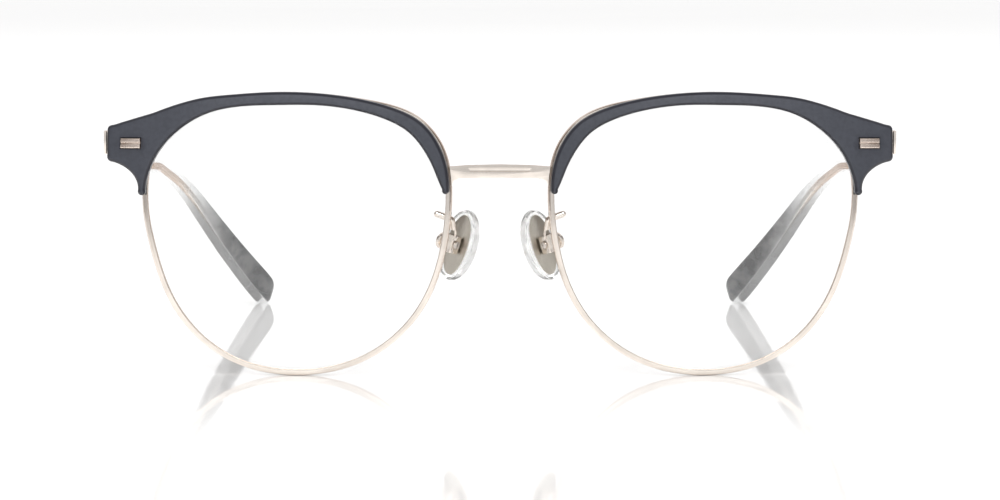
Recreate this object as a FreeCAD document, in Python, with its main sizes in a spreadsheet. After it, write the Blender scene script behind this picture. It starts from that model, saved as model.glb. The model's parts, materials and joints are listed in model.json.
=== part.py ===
import FreeCAD, Part
import math
import os

import Sketcher
from FreeCAD import Placement, Rotation, Vector

# Browline eyeglasses: a thin metal eyewire round each lens with an acetate brow cover on its
# upper half, a metal bridge, adjustable nose pads, and temples that fold on screw hinges.
# Frame: +X is the wearer's left, the front faces -Y, the temples run to +Y, +Z is up.
# The glasses stand open on their rims and temple tips. The wearer's left half is modelled
# and the right half is its mirror image in the plane X = 0.

SIZES = (
    # lens and rim
    ("lens_width", 52.5),
    ("lens_height", 48.0),
    ("lens_gap", 18.2),
    ("lens_radius", 130.0),
    ("lens_thickness", 1.5),
    ("face_form", 4.0),
    ("rim_wall", 0.55),
    ("rim_width", 1.0),
    ("rim_depth", 2.0),
    ("rim_proud", 0.25),
    ("groove_width", 0.9),
    ("rim_round", 0.22),
    ("split_gap", 0.1),
    # fits
    ("seat_gap", 0.02),
    ("braze_gap", 0.15),
    ("groove_gap", 0.05),
    ("running_gap", 0.04),
    ("swing_gap", 0.12),
    # brow cover, plaque and endpiece
    ("brow_thickness", 2.2),
    ("brow_reach", 6.42),
    ("plaque_length", 3.65),
    ("plaque_height", 1.75),
    ("plaque_thickness", 0.6),
    ("plaque_recess", 0.35),
    ("plaque_gap", 0.12),
    ("rivet_radius", 0.3),
    ("rivet_length", 1.0),
    ("plate_thickness", 1.1),
    ("plate_height", 4.0),
    ("leg_thickness", 1.3),
    ("lip_thickness", 0.4),
    ("lip_reach", 1.1),
    ("brow_screw_radius", 0.5),
    ("brow_screw_head", 0.9),
    # closing block
    ("block_length", 2.0),
    ("block_height", 1.2),
    ("lock_radius", 0.4),
    ("lock_head", 0.8),
    # bridge
    ("bar_height", 2.2),
    ("bar_depth", 1.7),
    ("channel_length", 10.4),
    ("channel_height", 0.42),
    ("channel_depth", 0.7),
    # hinge
    ("hinge_setback", 12.9),
    ("hinge_height", 39.8),
    ("knuckle_radius", 1.2),
    ("knuckle_height", 1.1),
    ("leaf_thickness", 0.88),
    ("web_gap", 0.25),
    ("leaf_reach", 3.6),
    ("pin_radius", 0.6),
    ("pin_head", 1.0),
    ("leg_end_height", 3.5),
    # temple
    ("temple_length", 130.0),
    ("arm_height", 2.0),
    ("arm_thickness", 1.2),
    ("core_height", 1.3),
    ("core_thickness", 1.1),
    ("sleeve_start", 54.0),
    ("sleeve_thickness", 2.5),
    # nose pads
    ("pad_length", 12.7),
    ("pad_width", 7.4),
    ("pad_thickness", 2.4),
    ("pad_splay", 42.0),
    ("pad_lean", 17.0),
    ("insert_length", 10.8),
    ("insert_width", 5.0),
    ("insert_thickness", 0.5),
    ("boss_width", 1.4),
    ("boss_length", 1.5),
    ("box_wall", 0.35),
    ("box_width", 2.3),
    ("box_length", 3.1),
    ("box_depth", 2.2),
    ("pad_pin_radius", 0.4),
    ("pad_pin_head", 0.75),
    ("wire_radius", 0.56),
    ("coin_radius", 1.4),
    ("coin_thickness", 0.75),
)

# Rim outline as fractions of its half width (towards the temple) and half height (up).
RIM_OUTLINE = (
    (0.982, 0.000), (1.012, 0.285), (0.955, 0.600), (0.765, 0.838), (0.504, 0.955),
    (0.000, 1.003), (-0.497, 0.943), (-0.768, 0.841), (-0.953, 0.601), (-1.002, 0.293),
    (-0.982, 0.000), (-0.821, -0.519), (-0.464, -0.880), (0.000, -1.000), (0.472, -0.883),
    (0.822, -0.505),
)

# Brow cover edges as (polar angle about the lens centre from the temple side, distance
# outside the rim outline).
BROW_TOP = (
    (163.6, -0.32), (158, -0.28), (149, -0.35), (138, -0.25), (128, -0.27), (116, 0.0),
    (102, 0.1), (88, 0.1), (74, 0.1), (64, 0.35), (55, 0.95), (46, 1.85), (39.5, 3.2),
)
BROW_INNER = (
    (163.4, -1.45), (160.6, -1.95), (154, -2.65), (146, -3.0), (137, -2.9), (126, -2.5),
    (113, -2.0), (98, -1.95), (83, -2.15), (68, -1.95), (54, -1.9), (41, -2.05), (31, -1.7),
    (22.5, -1.15), (15.8, -0.8),
)

# Temple centre line behind the bend: (along, down, height) from the bend's start.
EAR_STATIONS = (
    (8.0, 0.5, 2.7), (19.5, 2.5, 3.3), (30.5, 7.0, 4.3), (40.0, 12.2, 5.2), (49.0, 17.7, 5.9),
    (54.0, 20.9, 6.0),
)
EAR_REACH = 54.0
EAR_INWARD = 13.4
TOE_IN = 0.0424
TIP_STEPS = (0.35, 0.62, 0.82, 0.94, 0.99)
TIP_POWER = 2.5

doc = FreeCAD.newDocument("eyeglasses")
sheet = doc.addObject("Spreadsheet::Sheet", "sizes")
for row, (alias, number) in enumerate(SIZES, start=1):
    sheet.set("A%d" % row, alias)
    sheet.set("B%d" % row, str(number))
    sheet.setAlias("B%d" % row, alias)
doc.recompute()


def size(alias):
    return float(sheet.get(alias))


def expression(formula):
    """Formula whose words are sheet aliases, as the document's own expression."""
    aliases = [alias for alias, _ in SIZES]
    words = ["sizes." + word if word in aliases else word for word in formula.split()]
    return " ".join(words)


def value_of(formula):
    return float(sheet.evalExpression(expression(formula)))


def bind(obj, **formulas):
    """Tie properties of an object to formulas of sheet aliases."""
    for prop, formula in formulas.items():
        obj.setExpression(prop, expression(formula))


def shaped(name, shape):
    obj = doc.addObject("Part::Feature", name)
    obj.Shape = shape
    return obj


def sphere(name, formula):
    """Ball about the lens surface's own centre."""
    obj = doc.addObject("Part::Sphere", name)
    bind(obj, Radius=formula)
    obj.Placement = Placement(Vector(0, size("lens_radius"), 0), Rotation())
    return obj


def box(name, corner, length, width, height, place=None):
    """Box with bound sides; corner is its low corner inside the given placement."""
    obj = doc.addObject("Part::Box", name)
    bind(obj, Length=length, Width=width, Height=height)
    obj.Placement = (place or Placement()).multiply(Placement(corner, Rotation()))
    return obj


def cylinder(name, centre, axis, radius, height, place=None):
    """Cylinder with bound radius and height that starts at centre and runs along axis."""
    obj = doc.addObject("Part::Cylinder", name)
    bind(obj, Radius=radius, Height=height)
    turn = Rotation(Vector(0, 0, 1), axis)
    obj.Placement = (place or Placement()).multiply(Placement(centre, turn))
    return obj


def cut(name, base, tool):
    obj = doc.addObject("Part::Cut", name)
    obj.Base = base
    obj.Tool = tool
    return obj


def common(name, first, second):
    obj = doc.addObject("Part::Common", name)
    obj.Base = first
    obj.Tool = second
    return obj


def fuse(name, shapes):
    obj = doc.addObject("Part::MultiFuse", name)
    obj.Shapes = shapes
    obj.Refine = True
    return obj


def rounded(name, base, radius, wanted):
    """Fillet the edges of base that the test accepts."""
    doc.recompute()
    obj = doc.addObject("Part::Fillet", name)
    obj.Base = base
    chosen = [i for i, edge in enumerate(base.Shape.Edges, start=1) if wanted(edge)]
    obj.Edges = [(i, radius, radius) for i in chosen]
    return obj


def prism(name, face):
    """Face in the lens plane drawn out both ways along the lens axis."""
    outline = shaped(name + "_outline", face)
    obj = doc.addObject("Part::Extrusion", name)
    obj.Base = outline
    obj.Dir = Vector(0, 1, 0)
    obj.DirMode = "Custom"
    obj.LengthFwd = 40
    obj.Symmetric = True
    obj.Solid = True
    return obj


# ---------------------------------------------------------------- outlines in the lens plane

half_width = size("lens_width") / 2 + size("rim_wall")
half_height = size("lens_height") / 2 + size("rim_wall")

rim_spline = Part.BSplineCurve()
rim_spline.interpolate(
    Points=[Vector(p * half_width, 0, v * half_height) for p, v in RIM_OUTLINE],
    PeriodicFlag=True,
)


def offset_point(parameter, offset):
    """Point beside the rim outline, positive outwards."""
    point = rim_spline.value(parameter)
    along = Vector(*rim_spline.tangent(parameter)[0]).normalize()
    outward = Vector(along.z, 0, -along.x)
    if outward.dot(point) < 0:
        outward = outward.negative()
    return point + outward * offset


def rim_parameters(count):
    first = rim_spline.FirstParameter
    span = rim_spline.LastParameter - first
    return [first + span * i / count for i in range(count)]


RIM_SAMPLES = [
    (math.degrees(math.atan2(rim_spline.value(t).z, rim_spline.value(t).x)) % 360, t)
    for t in rim_parameters(1440)
]


def rim_point(angle, offset):
    """Point at a polar angle of the rim outline, moved outside it by offset."""
    nearest = min(RIM_SAMPLES, key=lambda sample: abs(sample[0] - angle % 360))
    return offset_point(nearest[1], offset)


def ring_face(offset):
    """Face inside the rim outline moved by offset."""
    curve = Part.BSplineCurve()
    points = [offset_point(t, offset) for t in rim_parameters(96)]
    curve.interpolate(Points=points, PeriodicFlag=True)
    return Part.Face(Part.Wire([curve.toShape()]))


def open_spline(points):
    curve = Part.BSplineCurve()
    curve.interpolate(Points=points)
    return curve.toShape()


def arc(start, middle, end):
    return Part.Arc(start, middle, end).toShape()


# ---------------------------------------------------------------- placements

centre_x = (size("lens_gap") + size("lens_width")) / 2
outer_x = centre_x + half_width + size("brow_reach") + size("lip_thickness")
hinge_x = outer_x - size("leg_thickness") - 1.5
hinge_y = size("hinge_setback")
hinge_z = size("hinge_height")
bend_start = size("temple_length") - EAR_REACH


def temple_stations():
    """Centre points of the temple in hinge coordinates, with the temple's height at each."""
    start_x = outer_x - hinge_x - size("leg_thickness") / 2
    rows = []
    for along in (0.0, bend_start / 3, bend_start * 2 / 3, bend_start):
        rows.append((Vector(start_x - TOE_IN * along, along, 0), 2.4))
    bend = rows[-1][0]
    for along, down, height in EAR_STATIONS:
        inward = TOE_IN * along + EAR_INWARD * (along / EAR_REACH) ** 2
        rows.append((bend + Vector(-inward, along, -down), height))
    return rows


STATIONS = temple_stations()
temple_spline = Part.BSplineCurve()
temple_spline.interpolate(Points=[point for point, _ in STATIONS])


def temple_frame(parameter):
    """Centre, height direction and thickness direction of the temple's section."""
    point = temple_spline.value(parameter)
    along = Vector(*temple_spline.tangent(parameter)[0]).normalize()
    side = along.cross(Vector(0, 0, 1)).normalize()
    up = side.cross(along).normalize()
    return point, up, side, along


def sleeve_tip_sections():
    """Sections that round off the end of the acetate tip: (centre, up, side, scale)."""
    point, up, side, along = temple_frame(temple_spline.LastParameter)
    reach = STATIONS[-1][1] / 2
    rows = []
    for step in TIP_STEPS:
        scale = (1 - step ** TIP_POWER) ** (1 / TIP_POWER)
        rows.append((point + along * reach * step, up, side, scale))
    return rows


def lowest_point(slope):
    """Lowest height of the temple's lower edge when it slopes by the given angle."""
    sections = []
    for point, height in STATIONS[-3:]:
        _, up, _, _ = temple_frame(temple_spline.parameter(point))
        sections.append((point, up, height))
    for point, up, _, scale in sleeve_tip_sections():
        sections.append((point, up, STATIONS[-1][1] * scale))
    heights = []
    for point, up, height in sections:
        edge = point - up * height / 2
        heights.append(hinge_z - edge.y * math.sin(slope) + edge.z * math.cos(slope))
    return min(heights)


def resting_slope():
    """Downward slope of the temple at which its tip just touches the ground."""
    low, high = 0.0, math.radians(30)
    for _ in range(40):
        middle = (low + high) / 2
        if lowest_point(middle) > 0:
            low = middle
        else:
            high = middle
    return math.degrees(low)


temple_slope = resting_slope()
tip_reach = sleeve_tip_sections()[-1][0]
brow_front = -size("rim_proud") - size("brow_thickness")
rear_y = hinge_y + tip_reach.y * math.cos(math.radians(temple_slope))
front_y = -(brow_front + rear_y) / 2

front_place = Placement(Vector(0, front_y, 0), Rotation())
lens_place = Placement(
    Vector(centre_x, front_y, half_height), Rotation(Vector(0, 0, 1), size("face_form"))
)
hinge_place = Placement(
    Vector(hinge_x, front_y + hinge_y, hinge_z), Rotation(Vector(1, 0, 0), -temple_slope)
)


def ball_depth(across, up, radius_change):
    """Depth of a ball surface concentric with the lens at a point of the lens plane."""
    radius = size("lens_radius") + radius_change
    return size("lens_radius") - math.sqrt(radius ** 2 - across ** 2 - up ** 2)


# ---------------------------------------------------------------- lens and rim

ball_lens_front = sphere("ball_lens_front", "lens_radius")
ball_lens_back = sphere("ball_lens_back", "lens_radius - lens_thickness")
groove_middle = "lens_radius - lens_thickness / 2"
ball_tongue_front = sphere("ball_tongue_front", groove_middle + " + groove_width / 2 - groove_gap")
ball_tongue_back = sphere("ball_tongue_back", groove_middle + " - groove_width / 2 + groove_gap")

shell_lens = cut("shell_lens", ball_lens_front, ball_lens_back)
shell_tongue = cut("shell_tongue", ball_tongue_front, ball_tongue_back)

prism_lens = prism("prism_lens", ring_face(-size("rim_width") - size("groove_gap")))
prism_tongue = prism("prism_tongue", ring_face(-size("rim_wall") - size("groove_gap")))
prism_rim_seat = prism("prism_rim_seat", ring_face(size("seat_gap")))


def loft(name, wires):
    obj = doc.addObject("Part::Loft", name)
    obj.Sections = [shaped("%s_section_%d" % (name, i), wire) for i, wire in enumerate(wires)]
    obj.Solid = True
    obj.Ruled = False
    return obj


def rim_section(parameter):
    """Section of the eyewire: rounded outside, square groove inside, sheared to the lens."""
    base = offset_point(parameter, 0)
    outward = (offset_point(parameter, 1) - base).normalize()
    slope = math.asin(base.dot(outward) / size("lens_radius"))
    base.y = ball_depth(base.x, base.z, 0)

    def at(inset, depth):
        sheared = depth / math.cos(slope) - inset * math.tan(slope)
        return base - outward * inset + Vector(0, sheared, 0)

    front = -size("rim_proud")
    rear = front + size("rim_depth")
    width = size("rim_width")
    groove_front = (size("lens_thickness") - size("groove_width")) / 2
    groove_back = groove_front + size("groove_width")
    big = size("rim_round") * 1.5
    small = size("rim_round") * 0.7
    parts = []
    points = [
        ("arc", (0, rear - big), (big * 0.293, rear - big * 0.293), (big, rear)),
        ("line", (big, rear), (width - small, rear)),
        ("arc", (width - small, rear), (width - small * 0.293, rear - small * 0.293),
         (width, rear - small)),
        ("line", (width, rear - small), (width, groove_back)),
        ("line", (width, groove_back), (size("rim_wall"), groove_back)),
        ("line", (size("rim_wall"), groove_back), (size("rim_wall"), groove_front)),
        ("line", (size("rim_wall"), groove_front), (width, groove_front)),
        ("line", (width, groove_front), (width, front + small)),
        ("arc", (width, front + small), (width - small * 0.293, front + small * 0.293),
         (width - small, front)),
        ("line", (width - small, front), (big, front)),
        ("arc", (big, front), (big * 0.293, front + big * 0.293), (0, front + big)),
        ("line", (0, front + big), (0, rear - big)),
    ]
    for kind, *spots in points:
        ends = [at(*spot) for spot in spots]
        if kind == "arc":
            parts.append(arc(*ends))
        else:
            parts.append(Part.LineSegment(*ends).toShape())
    return Part.Wire(parts)


block_top = 0.505 * half_height
split_at = min(
    (t for t in rim_parameters(1440) if rim_spline.value(t).x > 0),
    key=lambda t: abs(rim_spline.value(t).z - block_top - size("split_gap") / 2),
)
rim_span = rim_spline.LastParameter - rim_spline.FirstParameter
half_split = size("split_gap") / 2 / rim_spline.length() * rim_span
rim_count = 64
rim_ends = (0.1, 0.4)
rim_shares = [0] + [step / rim_count for step in rim_ends]
rim_shares += [index / rim_count for index in range(1, rim_count)]
rim_shares += [1 - step / rim_count for step in rim_ends[::-1]] + [1]
rim_wires = []
for share in rim_shares:
    parameter = split_at + half_split + share * (rim_span - 2 * half_split)
    if parameter > rim_spline.LastParameter:
        parameter -= rim_span
    rim_wires.append(rim_section(parameter))
rim = loft("rim_left", rim_wires)

lens_body = common("lens_body", prism_lens, shell_lens)
lens_tongue = common("lens_tongue", prism_tongue, shell_tongue)
lens = fuse("lens_left", [lens_body, lens_tongue])

# closing block: the rim is split beside it and one screw pulls its halves together
block_x = half_width * 1.005
block_depth = ball_depth(block_x + size("block_length") / 2, block_top, size("rim_proud"))


def block_half(name, low, screw_hole):
    corner = Vector(block_x - 1.5, block_depth + 0.4, low)
    blank = box(name + "_blank", corner, "block_length + 1.5", "rim_depth - 0.4", "block_height")
    seated = cut(name + "_seated", blank, prism_rim_seat)
    return cut(name, seated, screw_hole)


screw_x = block_x + size("block_length") * 0.55
screw_y = block_depth + 0.4 + (size("rim_depth") - 0.4) / 2
lock_low = Vector(screw_x, screw_y, block_top - size("block_height"))


def lock_hole(name):
    low = lock_low - Vector(0, 0, 2)
    return cylinder(name, low, Vector(0, 0, 1), "lock_radius + seat_gap", "block_height * 5")


block_upper = block_half(
    "closing_block_upper_left", block_top + size("split_gap"), lock_hole("hole_upper")
)
block_lower = block_half(
    "closing_block_lower_left", block_top - size("block_height"), lock_hole("hole_lower")
)


def slotted_screw(name, place, shaft_radius, shaft_length, head_radius, head_height):
    """Screw along +Z of its placement, with its slotted head below the origin."""
    shaft = cylinder(name + "_shaft", Vector(), Vector(0, 0, 1), shaft_radius, shaft_length, place)
    drop = doc.addObject("Part::Cone", name + "_head")
    bind(drop, Radius1=head_radius + " * 0.8", Radius2=head_radius, Height=head_height)
    low = Vector(0, 0, -value_of(head_height))
    drop.Placement = place.multiply(Placement(low, Rotation()))
    body = fuse(name + "_body", [shaft, drop])
    slot_width = value_of(head_radius) * 2.4
    corner = Vector(-slot_width / 2, -value_of(head_radius) * 0.15, low.z * 1.5)
    slot = box(
        name + "_slot", corner, head_radius + " * 2.4", head_radius + " * 0.3", head_height, place
    )
    return cut(name, body, slot)


lock_screw = slotted_screw(
    "lock_screw_left",
    Placement(lock_low - Vector(0, 0, size("seat_gap")), Rotation()),
    "lock_radius", "block_height * 2 + split_gap", "lock_head", "lock_radius",
)

# ---------------------------------------------------------------- brow cover and plaque

end_x = half_width + size("brow_reach")
end_top = rim_point(30, 0).z + 4.0
end_bottom = end_top - 6.3
tip_nose = rim_point(165.0, -0.95)
tip_temple_outer = rim_point(15.8, 0.45)
tip_temple = rim_point(14.0, -0.2)


def brow_face():
    top = [rim_point(angle, offset) for angle, offset in BROW_TOP]
    inner = [rim_point(angle, offset) for angle, offset in BROW_INNER]
    corner_top = Vector(end_x - 0.8, 0, end_top)
    corner_side = Vector(end_x, 0, end_top - 0.8)
    low_side = Vector(end_x, 0, end_bottom + 1.0)
    low_corner = Vector(end_x - 0.8, 0, end_bottom)
    shoulder = Vector(end_x - 1.92, 0, end_bottom - 0.3)
    slope = Vector(end_x - 3.32, 0, end_bottom - 0.98)
    neck = Vector(end_x - 4.82, 0, end_bottom - 2.3)
    edges = [
        open_spline(top),
        Part.LineSegment(top[-1], corner_top).toShape(),
        arc(corner_top, Vector(end_x - 0.2, 0, end_top - 0.28), corner_side),
        Part.LineSegment(corner_side, low_side).toShape(),
        arc(low_side, Vector(end_x - 0.22, 0, end_bottom + 0.28), low_corner),
        open_spline([low_corner, shoulder, slope, neck, tip_temple_outer]),
        arc(tip_temple_outer, tip_temple, inner[-1]),
        open_spline(inner[::-1]),
        arc(inner[0], tip_nose, top[0]),
    ]
    return Part.Face(Part.Wire(edges))


ball_brow_front = sphere("ball_brow_front", "lens_radius + rim_proud + brow_thickness")
ball_brow_back = sphere("ball_brow_back", "lens_radius + rim_proud + seat_gap * 2")
shell_brow = cut("shell_brow", ball_brow_front, ball_brow_back)
prism_brow = prism("prism_brow", brow_face())
brow_blank = common("brow_blank", prism_brow, shell_brow)

plaque_x = end_x - 4.3
plaque_z = (end_top + end_bottom) / 2 + 0.1
outward = Vector(plaque_x, -size("lens_radius"), plaque_z).normalize()
skin_depth = ball_depth(plaque_x, plaque_z, size("rim_proud") + size("brow_thickness"))
plaque_spot = Vector(plaque_x, skin_depth, plaque_z)
plaque_turn = Rotation(Vector(0, 0, 1), Vector(0, -1, 0))
face_turn = Rotation(Vector(0, -1, 0), outward)
plaque_place = Placement(plaque_spot, face_turn.multiply(plaque_turn))

recess_length = size("plaque_length") + 2 * size("plaque_gap")
recess_height = size("plaque_height") + 2 * size("plaque_gap")
recess = box(
    "recess", Vector(-recess_length / 2, -recess_height / 2, -size("plaque_recess")),
    "plaque_length + plaque_gap * 2", "plaque_height + plaque_gap * 2", "plaque_thickness * 3",
    plaque_place,
)
brow_recessed = cut("brow_recessed", brow_blank, recess)

rivet_spots = (-size("plaque_length") * 0.3, size("plaque_length") * 0.3)
rivet_foot = -size("plaque_recess") - size("rivet_length")


def rivets(name, radius):
    pins = []
    for number, across in enumerate(rivet_spots, start=1):
        foot = Vector(across, 0, rivet_foot)
        pins.append(cylinder(
            "%s_%d" % (name, number), foot, Vector(0, 0, 1), radius, "rivet_length + 0.1", plaque_place
        ))
    return pins


def brow_screw_places():
    """Brow screws run forward through the endpiece plate, square to the lens surface."""
    places = []
    for across, up in ((half_width - 0.9, end_top - 1.95), (end_x - 2.3, end_top - 4.2)):
        depth = ball_depth(across, up, size("rim_proud") - size("plate_thickness"))
        forward = Vector(across, -size("lens_radius"), up).normalize()
        places.append(Placement(Vector(across, depth, up), Rotation(Vector(0, 0, 1), forward)))
    return places


def brow_screw_holes(name):
    holes = []
    for number, place in enumerate(brow_screw_places(), start=1):
        holes.append(cylinder(
            "%s_%d" % (name, number), Vector(0, 0, -1), Vector(0, 0, 1),
            "brow_screw_radius + seat_gap", "plate_thickness + 2.45", place,
        ))
    return holes


brow_holes = fuse(
    "brow_holes", rivets("rivet_hole", "rivet_radius + seat_gap") + brow_screw_holes("brow_hole")
)
brow = cut("brow_left", brow_recessed, brow_holes)

plaque_plate = box(
    "plaque_plate",
    Vector(-size("plaque_length") / 2, -size("plaque_height") / 2, -size("plaque_recess") + 0.02),
    "plaque_length", "plaque_height", "plaque_thickness * 0.5", plaque_place,
)
ribs = []
rib_width = size("plaque_height") * 0.46
for number, side in enumerate((-1, 1), start=1):
    low = -size("plaque_height") / 2 if side < 0 else size("plaque_height") / 2 - rib_width
    rib = box(
        "plaque_rib_%d" % number,
        Vector(-size("plaque_length") / 2, low, -size("plaque_recess") + 0.02),
        "plaque_length", "plaque_height * 0.46", "plaque_thickness", plaque_place,
    )
    ribs.append(rib)
plaque_pins = rivets("plaque_pin", "rivet_radius")
plaque_blank = fuse("plaque_blank", [plaque_plate] + ribs)
plaque_front = plaque_place.multVec(
    Vector(0, 0, size("plaque_thickness") - size("plaque_recess") + 0.02)
)


def plaque_rib_edge(edge):
    """Whether an edge lies in the plaque's front plane."""
    ends = (edge.valueAt(edge.FirstParameter), edge.valueAt(edge.LastParameter))
    return all(abs((end - plaque_front).dot(outward)) < 0.01 for end in ends)


plaque_round = size("plaque_thickness") * 0.35
plaque_smooth = rounded("plaque_smooth", plaque_blank, plaque_round, plaque_rib_edge)
plaque = fuse("brow_plaque_left", [plaque_smooth] + plaque_pins)

brow_screw_solids = []
for number, place in enumerate(brow_screw_places(), start=1):
    seated = place.multiply(Placement(Vector(0, 0, -size("seat_gap") * 2), Rotation()))
    brow_screw_solids.append(slotted_screw(
        "brow_screw_%d" % number, seated,
        "brow_screw_radius", "plate_thickness + 1.2", "brow_screw_head", "brow_screw_radius",
    ))
brow_screws = doc.addObject("Part::Compound", "brow_screws_left")
brow_screws.Links = brow_screw_solids

# ---------------------------------------------------------------- endpiece

plate_top = end_top - 1.1
plate_low = plate_top - size("plate_height")
tilt_place = Placement(
    Vector(centre_x, 0, half_height), Rotation(Vector(0, 0, 1), size("face_form"))
)
leg_inner = outer_x - size("leg_thickness")


def sketched_body(name, role, corners):
    """Body with one closed sketch on an origin plane; each corner is a pair of numbers."""
    body = doc.addObject("PartDesign::Body", name)
    sketch = body.newObject("Sketcher::SketchObject", name + "_sketch")
    plane = [item for item in body.Origin.OriginFeatures if item.Role == role][0]
    sketch.AttachmentSupport = (plane, [""])
    sketch.MapMode = "FlatFace"
    count = len(corners)
    for index in range(count):
        start = Vector(*corners[index], 0)
        end = Vector(*corners[(index + 1) % count], 0)
        sketch.addGeometry(Part.LineSegment(start, end), False)
    for index in range(count):
        sketch.addConstraint(Sketcher.Constraint("Coincident", index, 2, (index + 1) % count, 1))
    for index in range(count):
        sketch.addConstraint(Sketcher.Constraint("DistanceX", -1, 1, index, 1, corners[index][0]))
        sketch.addConstraint(Sketcher.Constraint("DistanceY", -1, 1, index, 1, corners[index][1]))
    return body, sketch


def pad_of(body, sketch, name, length, reversed_way=False):
    pad = body.newObject("PartDesign::Pad", name)
    pad.Profile = sketch
    bind(pad, Length=length)
    pad.Reversed = reversed_way
    return pad


def in_front(point):
    """Point of the hinge frame given as (outward, back, up), in front coordinates."""
    turned = Rotation(Vector(1, 0, 0), -temple_slope).multVec(point)
    return Vector(hinge_x, hinge_y, hinge_z) + turned


joint_low = in_front(Vector(0, -0.05, -size("leg_end_height") / 2))
joint_high = in_front(Vector(0, -0.05, size("leg_end_height") / 2))
side_depth = ball_depth(end_x, plate_top, size("rim_proud"))
lip_back = side_depth + math.sin(math.radians(size("face_form"))) * end_x
leg_front = lip_back - size("lip_reach")
strip_low = half_height + plate_low
strip_high = half_height + plate_top
leg_corners = [
    (leg_front, strip_low), (lip_back + 1.6, strip_low), (joint_low.y, joint_low.z),
    (joint_high.y, joint_high.z), (lip_back + 1.6, strip_high), (leg_front, strip_high),
]
leg_body, leg_sketch = sketched_body("leg_body", "YZ_Plane", leg_corners)
pad_of(leg_body, leg_sketch, "leg_pad", "leg_thickness")
leg_body.Placement = Placement(Vector(leg_inner, 0, 0), Rotation())
brow_room = box(
    "brow_room", Vector(leg_inner - 1, leg_front - 1, strip_low - 1),
    "leg_thickness + 1 - lip_thickness", "lip_reach + 1 - seat_gap", "plate_height + 2",
)
leg = cut("leg", leg_body, brow_room)
plate_face = Part.Face(Part.makePolygon([
    Vector(half_width - 4, 0, plate_low), Vector(end_x - 0.25, 0, plate_low),
    Vector(end_x - 0.25, 0, plate_top), Vector(half_width - 4, 0, plate_top),
    Vector(half_width - 4, 0, plate_low),
]))
prism_plate = prism("prism_plate", plate_face)
ball_plate_back = sphere("ball_plate_back", "lens_radius + rim_proud - plate_thickness")
ball_plate_front = sphere("ball_plate_front", "lens_radius + rim_proud")
shell_plate = cut("shell_plate", ball_plate_front, ball_plate_back)
plate_blank = common("plate_blank", prism_plate, shell_plate)
prism_plate_seat = prism("prism_plate_seat", ring_face(size("braze_gap")))
plate_seated = cut("plate_seated", plate_blank, prism_plate_seat)
block_room = box(
    "block_room", Vector(block_x - 4, -5, plate_low - 1), "block_length + 4.1", "rim_depth + 20",
    "1.0 + 0.05 + block_height", None,
)
plate_cleared = cut("plate_cleared", plate_seated, block_room)
plate = cut("plate", plate_cleared, fuse("plate_holes", brow_screw_holes("plate_hole")))
plate.Placement = tilt_place
endpiece = fuse("endpiece_left", [plate, leg])

# ---------------------------------------------------------------- hinge

knuckle = size("knuckle_height")
knuckle_gap = size("swing_gap") / 2
stack = 3 * knuckle + 2 * knuckle_gap
leaf_inner = 0.6
web_back = size("knuckle_radius") + size("web_gap")


def knuckle_solid(name, low):
    """One knuckle of the hinge, from low up."""
    return cylinder(name, Vector(0, 0, low), Vector(0, 0, 1), "knuckle_radius", "knuckle_height")


def knuckle_web(name, low, backwards):
    """Web from a knuckle to its leaf; backwards is True on the temple's side."""
    start = 0 if backwards else -web_back
    corner = Vector(leaf_inner, start, low)
    return box(name, corner, "leaf_thickness", "knuckle_radius + web_gap", "knuckle_height")


front_leaf_plate = box(
    "front_leaf_plate", Vector(leaf_inner, -size("leaf_reach"), -stack / 2),
    "leaf_thickness", "leaf_reach - knuckle_radius - 0.2", "knuckle_height * 3 + swing_gap",
)
front_knuckles = []
for number, low in enumerate((-stack / 2, stack / 2 - knuckle), start=1):
    front_knuckles.append(knuckle_solid("front_knuckle_%d" % number, low))
    front_knuckles.append(knuckle_web("front_web_%d" % number, low, False))
front_leaf = fuse("front_leaf", [front_leaf_plate] + front_knuckles)
front_bore = cylinder(
    "front_bore", Vector(0, 0, -5), Vector(0, 0, 1), "pin_radius + seat_gap", "knuckle_height * 10"
)
hinge_front = cut("hinge_front_left", front_leaf, front_bore)

pin_top = Placement(Vector(0, 0, stack / 2 + size("seat_gap")), Rotation(Vector(1, 0, 0), 180))
hinge_screw = slotted_screw(
    "hinge_screw_left", pin_top, "pin_radius", "knuckle_height * 3 + swing_gap", "pin_head",
    "pin_radius",
)

# ---------------------------------------------------------------- temple


def temple_at(along):
    """Section frame of the temple at a distance behind the hinge."""
    low, high = temple_spline.FirstParameter, temple_spline.LastParameter
    for _ in range(50):
        middle = (low + high) / 2
        if temple_spline.value(middle).y < along:
            low = middle
        else:
            high = middle
    return temple_frame(low)


def section(point, up, side, height, thickness, corner):
    """Rounded rectangle square to the temple, always drawn from the same corner."""
    tall = height / 2
    thick = thickness / 2

    def at(across, along_up):
        return point + side * across + up * along_up

    half = corner * (1 - math.sqrt(0.5))
    edges = []
    for sign_side, sign_up in ((1, 1), (-1, 1), (-1, -1), (1, -1)):
        beside = at(sign_side * thick, sign_up * (tall - corner))
        bend = at(sign_side * (thick - half), sign_up * (tall - half))
        above = at(sign_side * (thick - corner), sign_up * tall)
        if sign_side * sign_up > 0:
            edges.append((beside, bend, above))
        else:
            edges.append((above, bend, beside))
    parts = []
    for index, (start, bend, end) in enumerate(edges):
        parts.append(arc(start, bend, end))
        parts.append(Part.LineSegment(end, edges[(index + 1) % 4][0]).toShape())
    return Part.Wire(parts)


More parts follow.
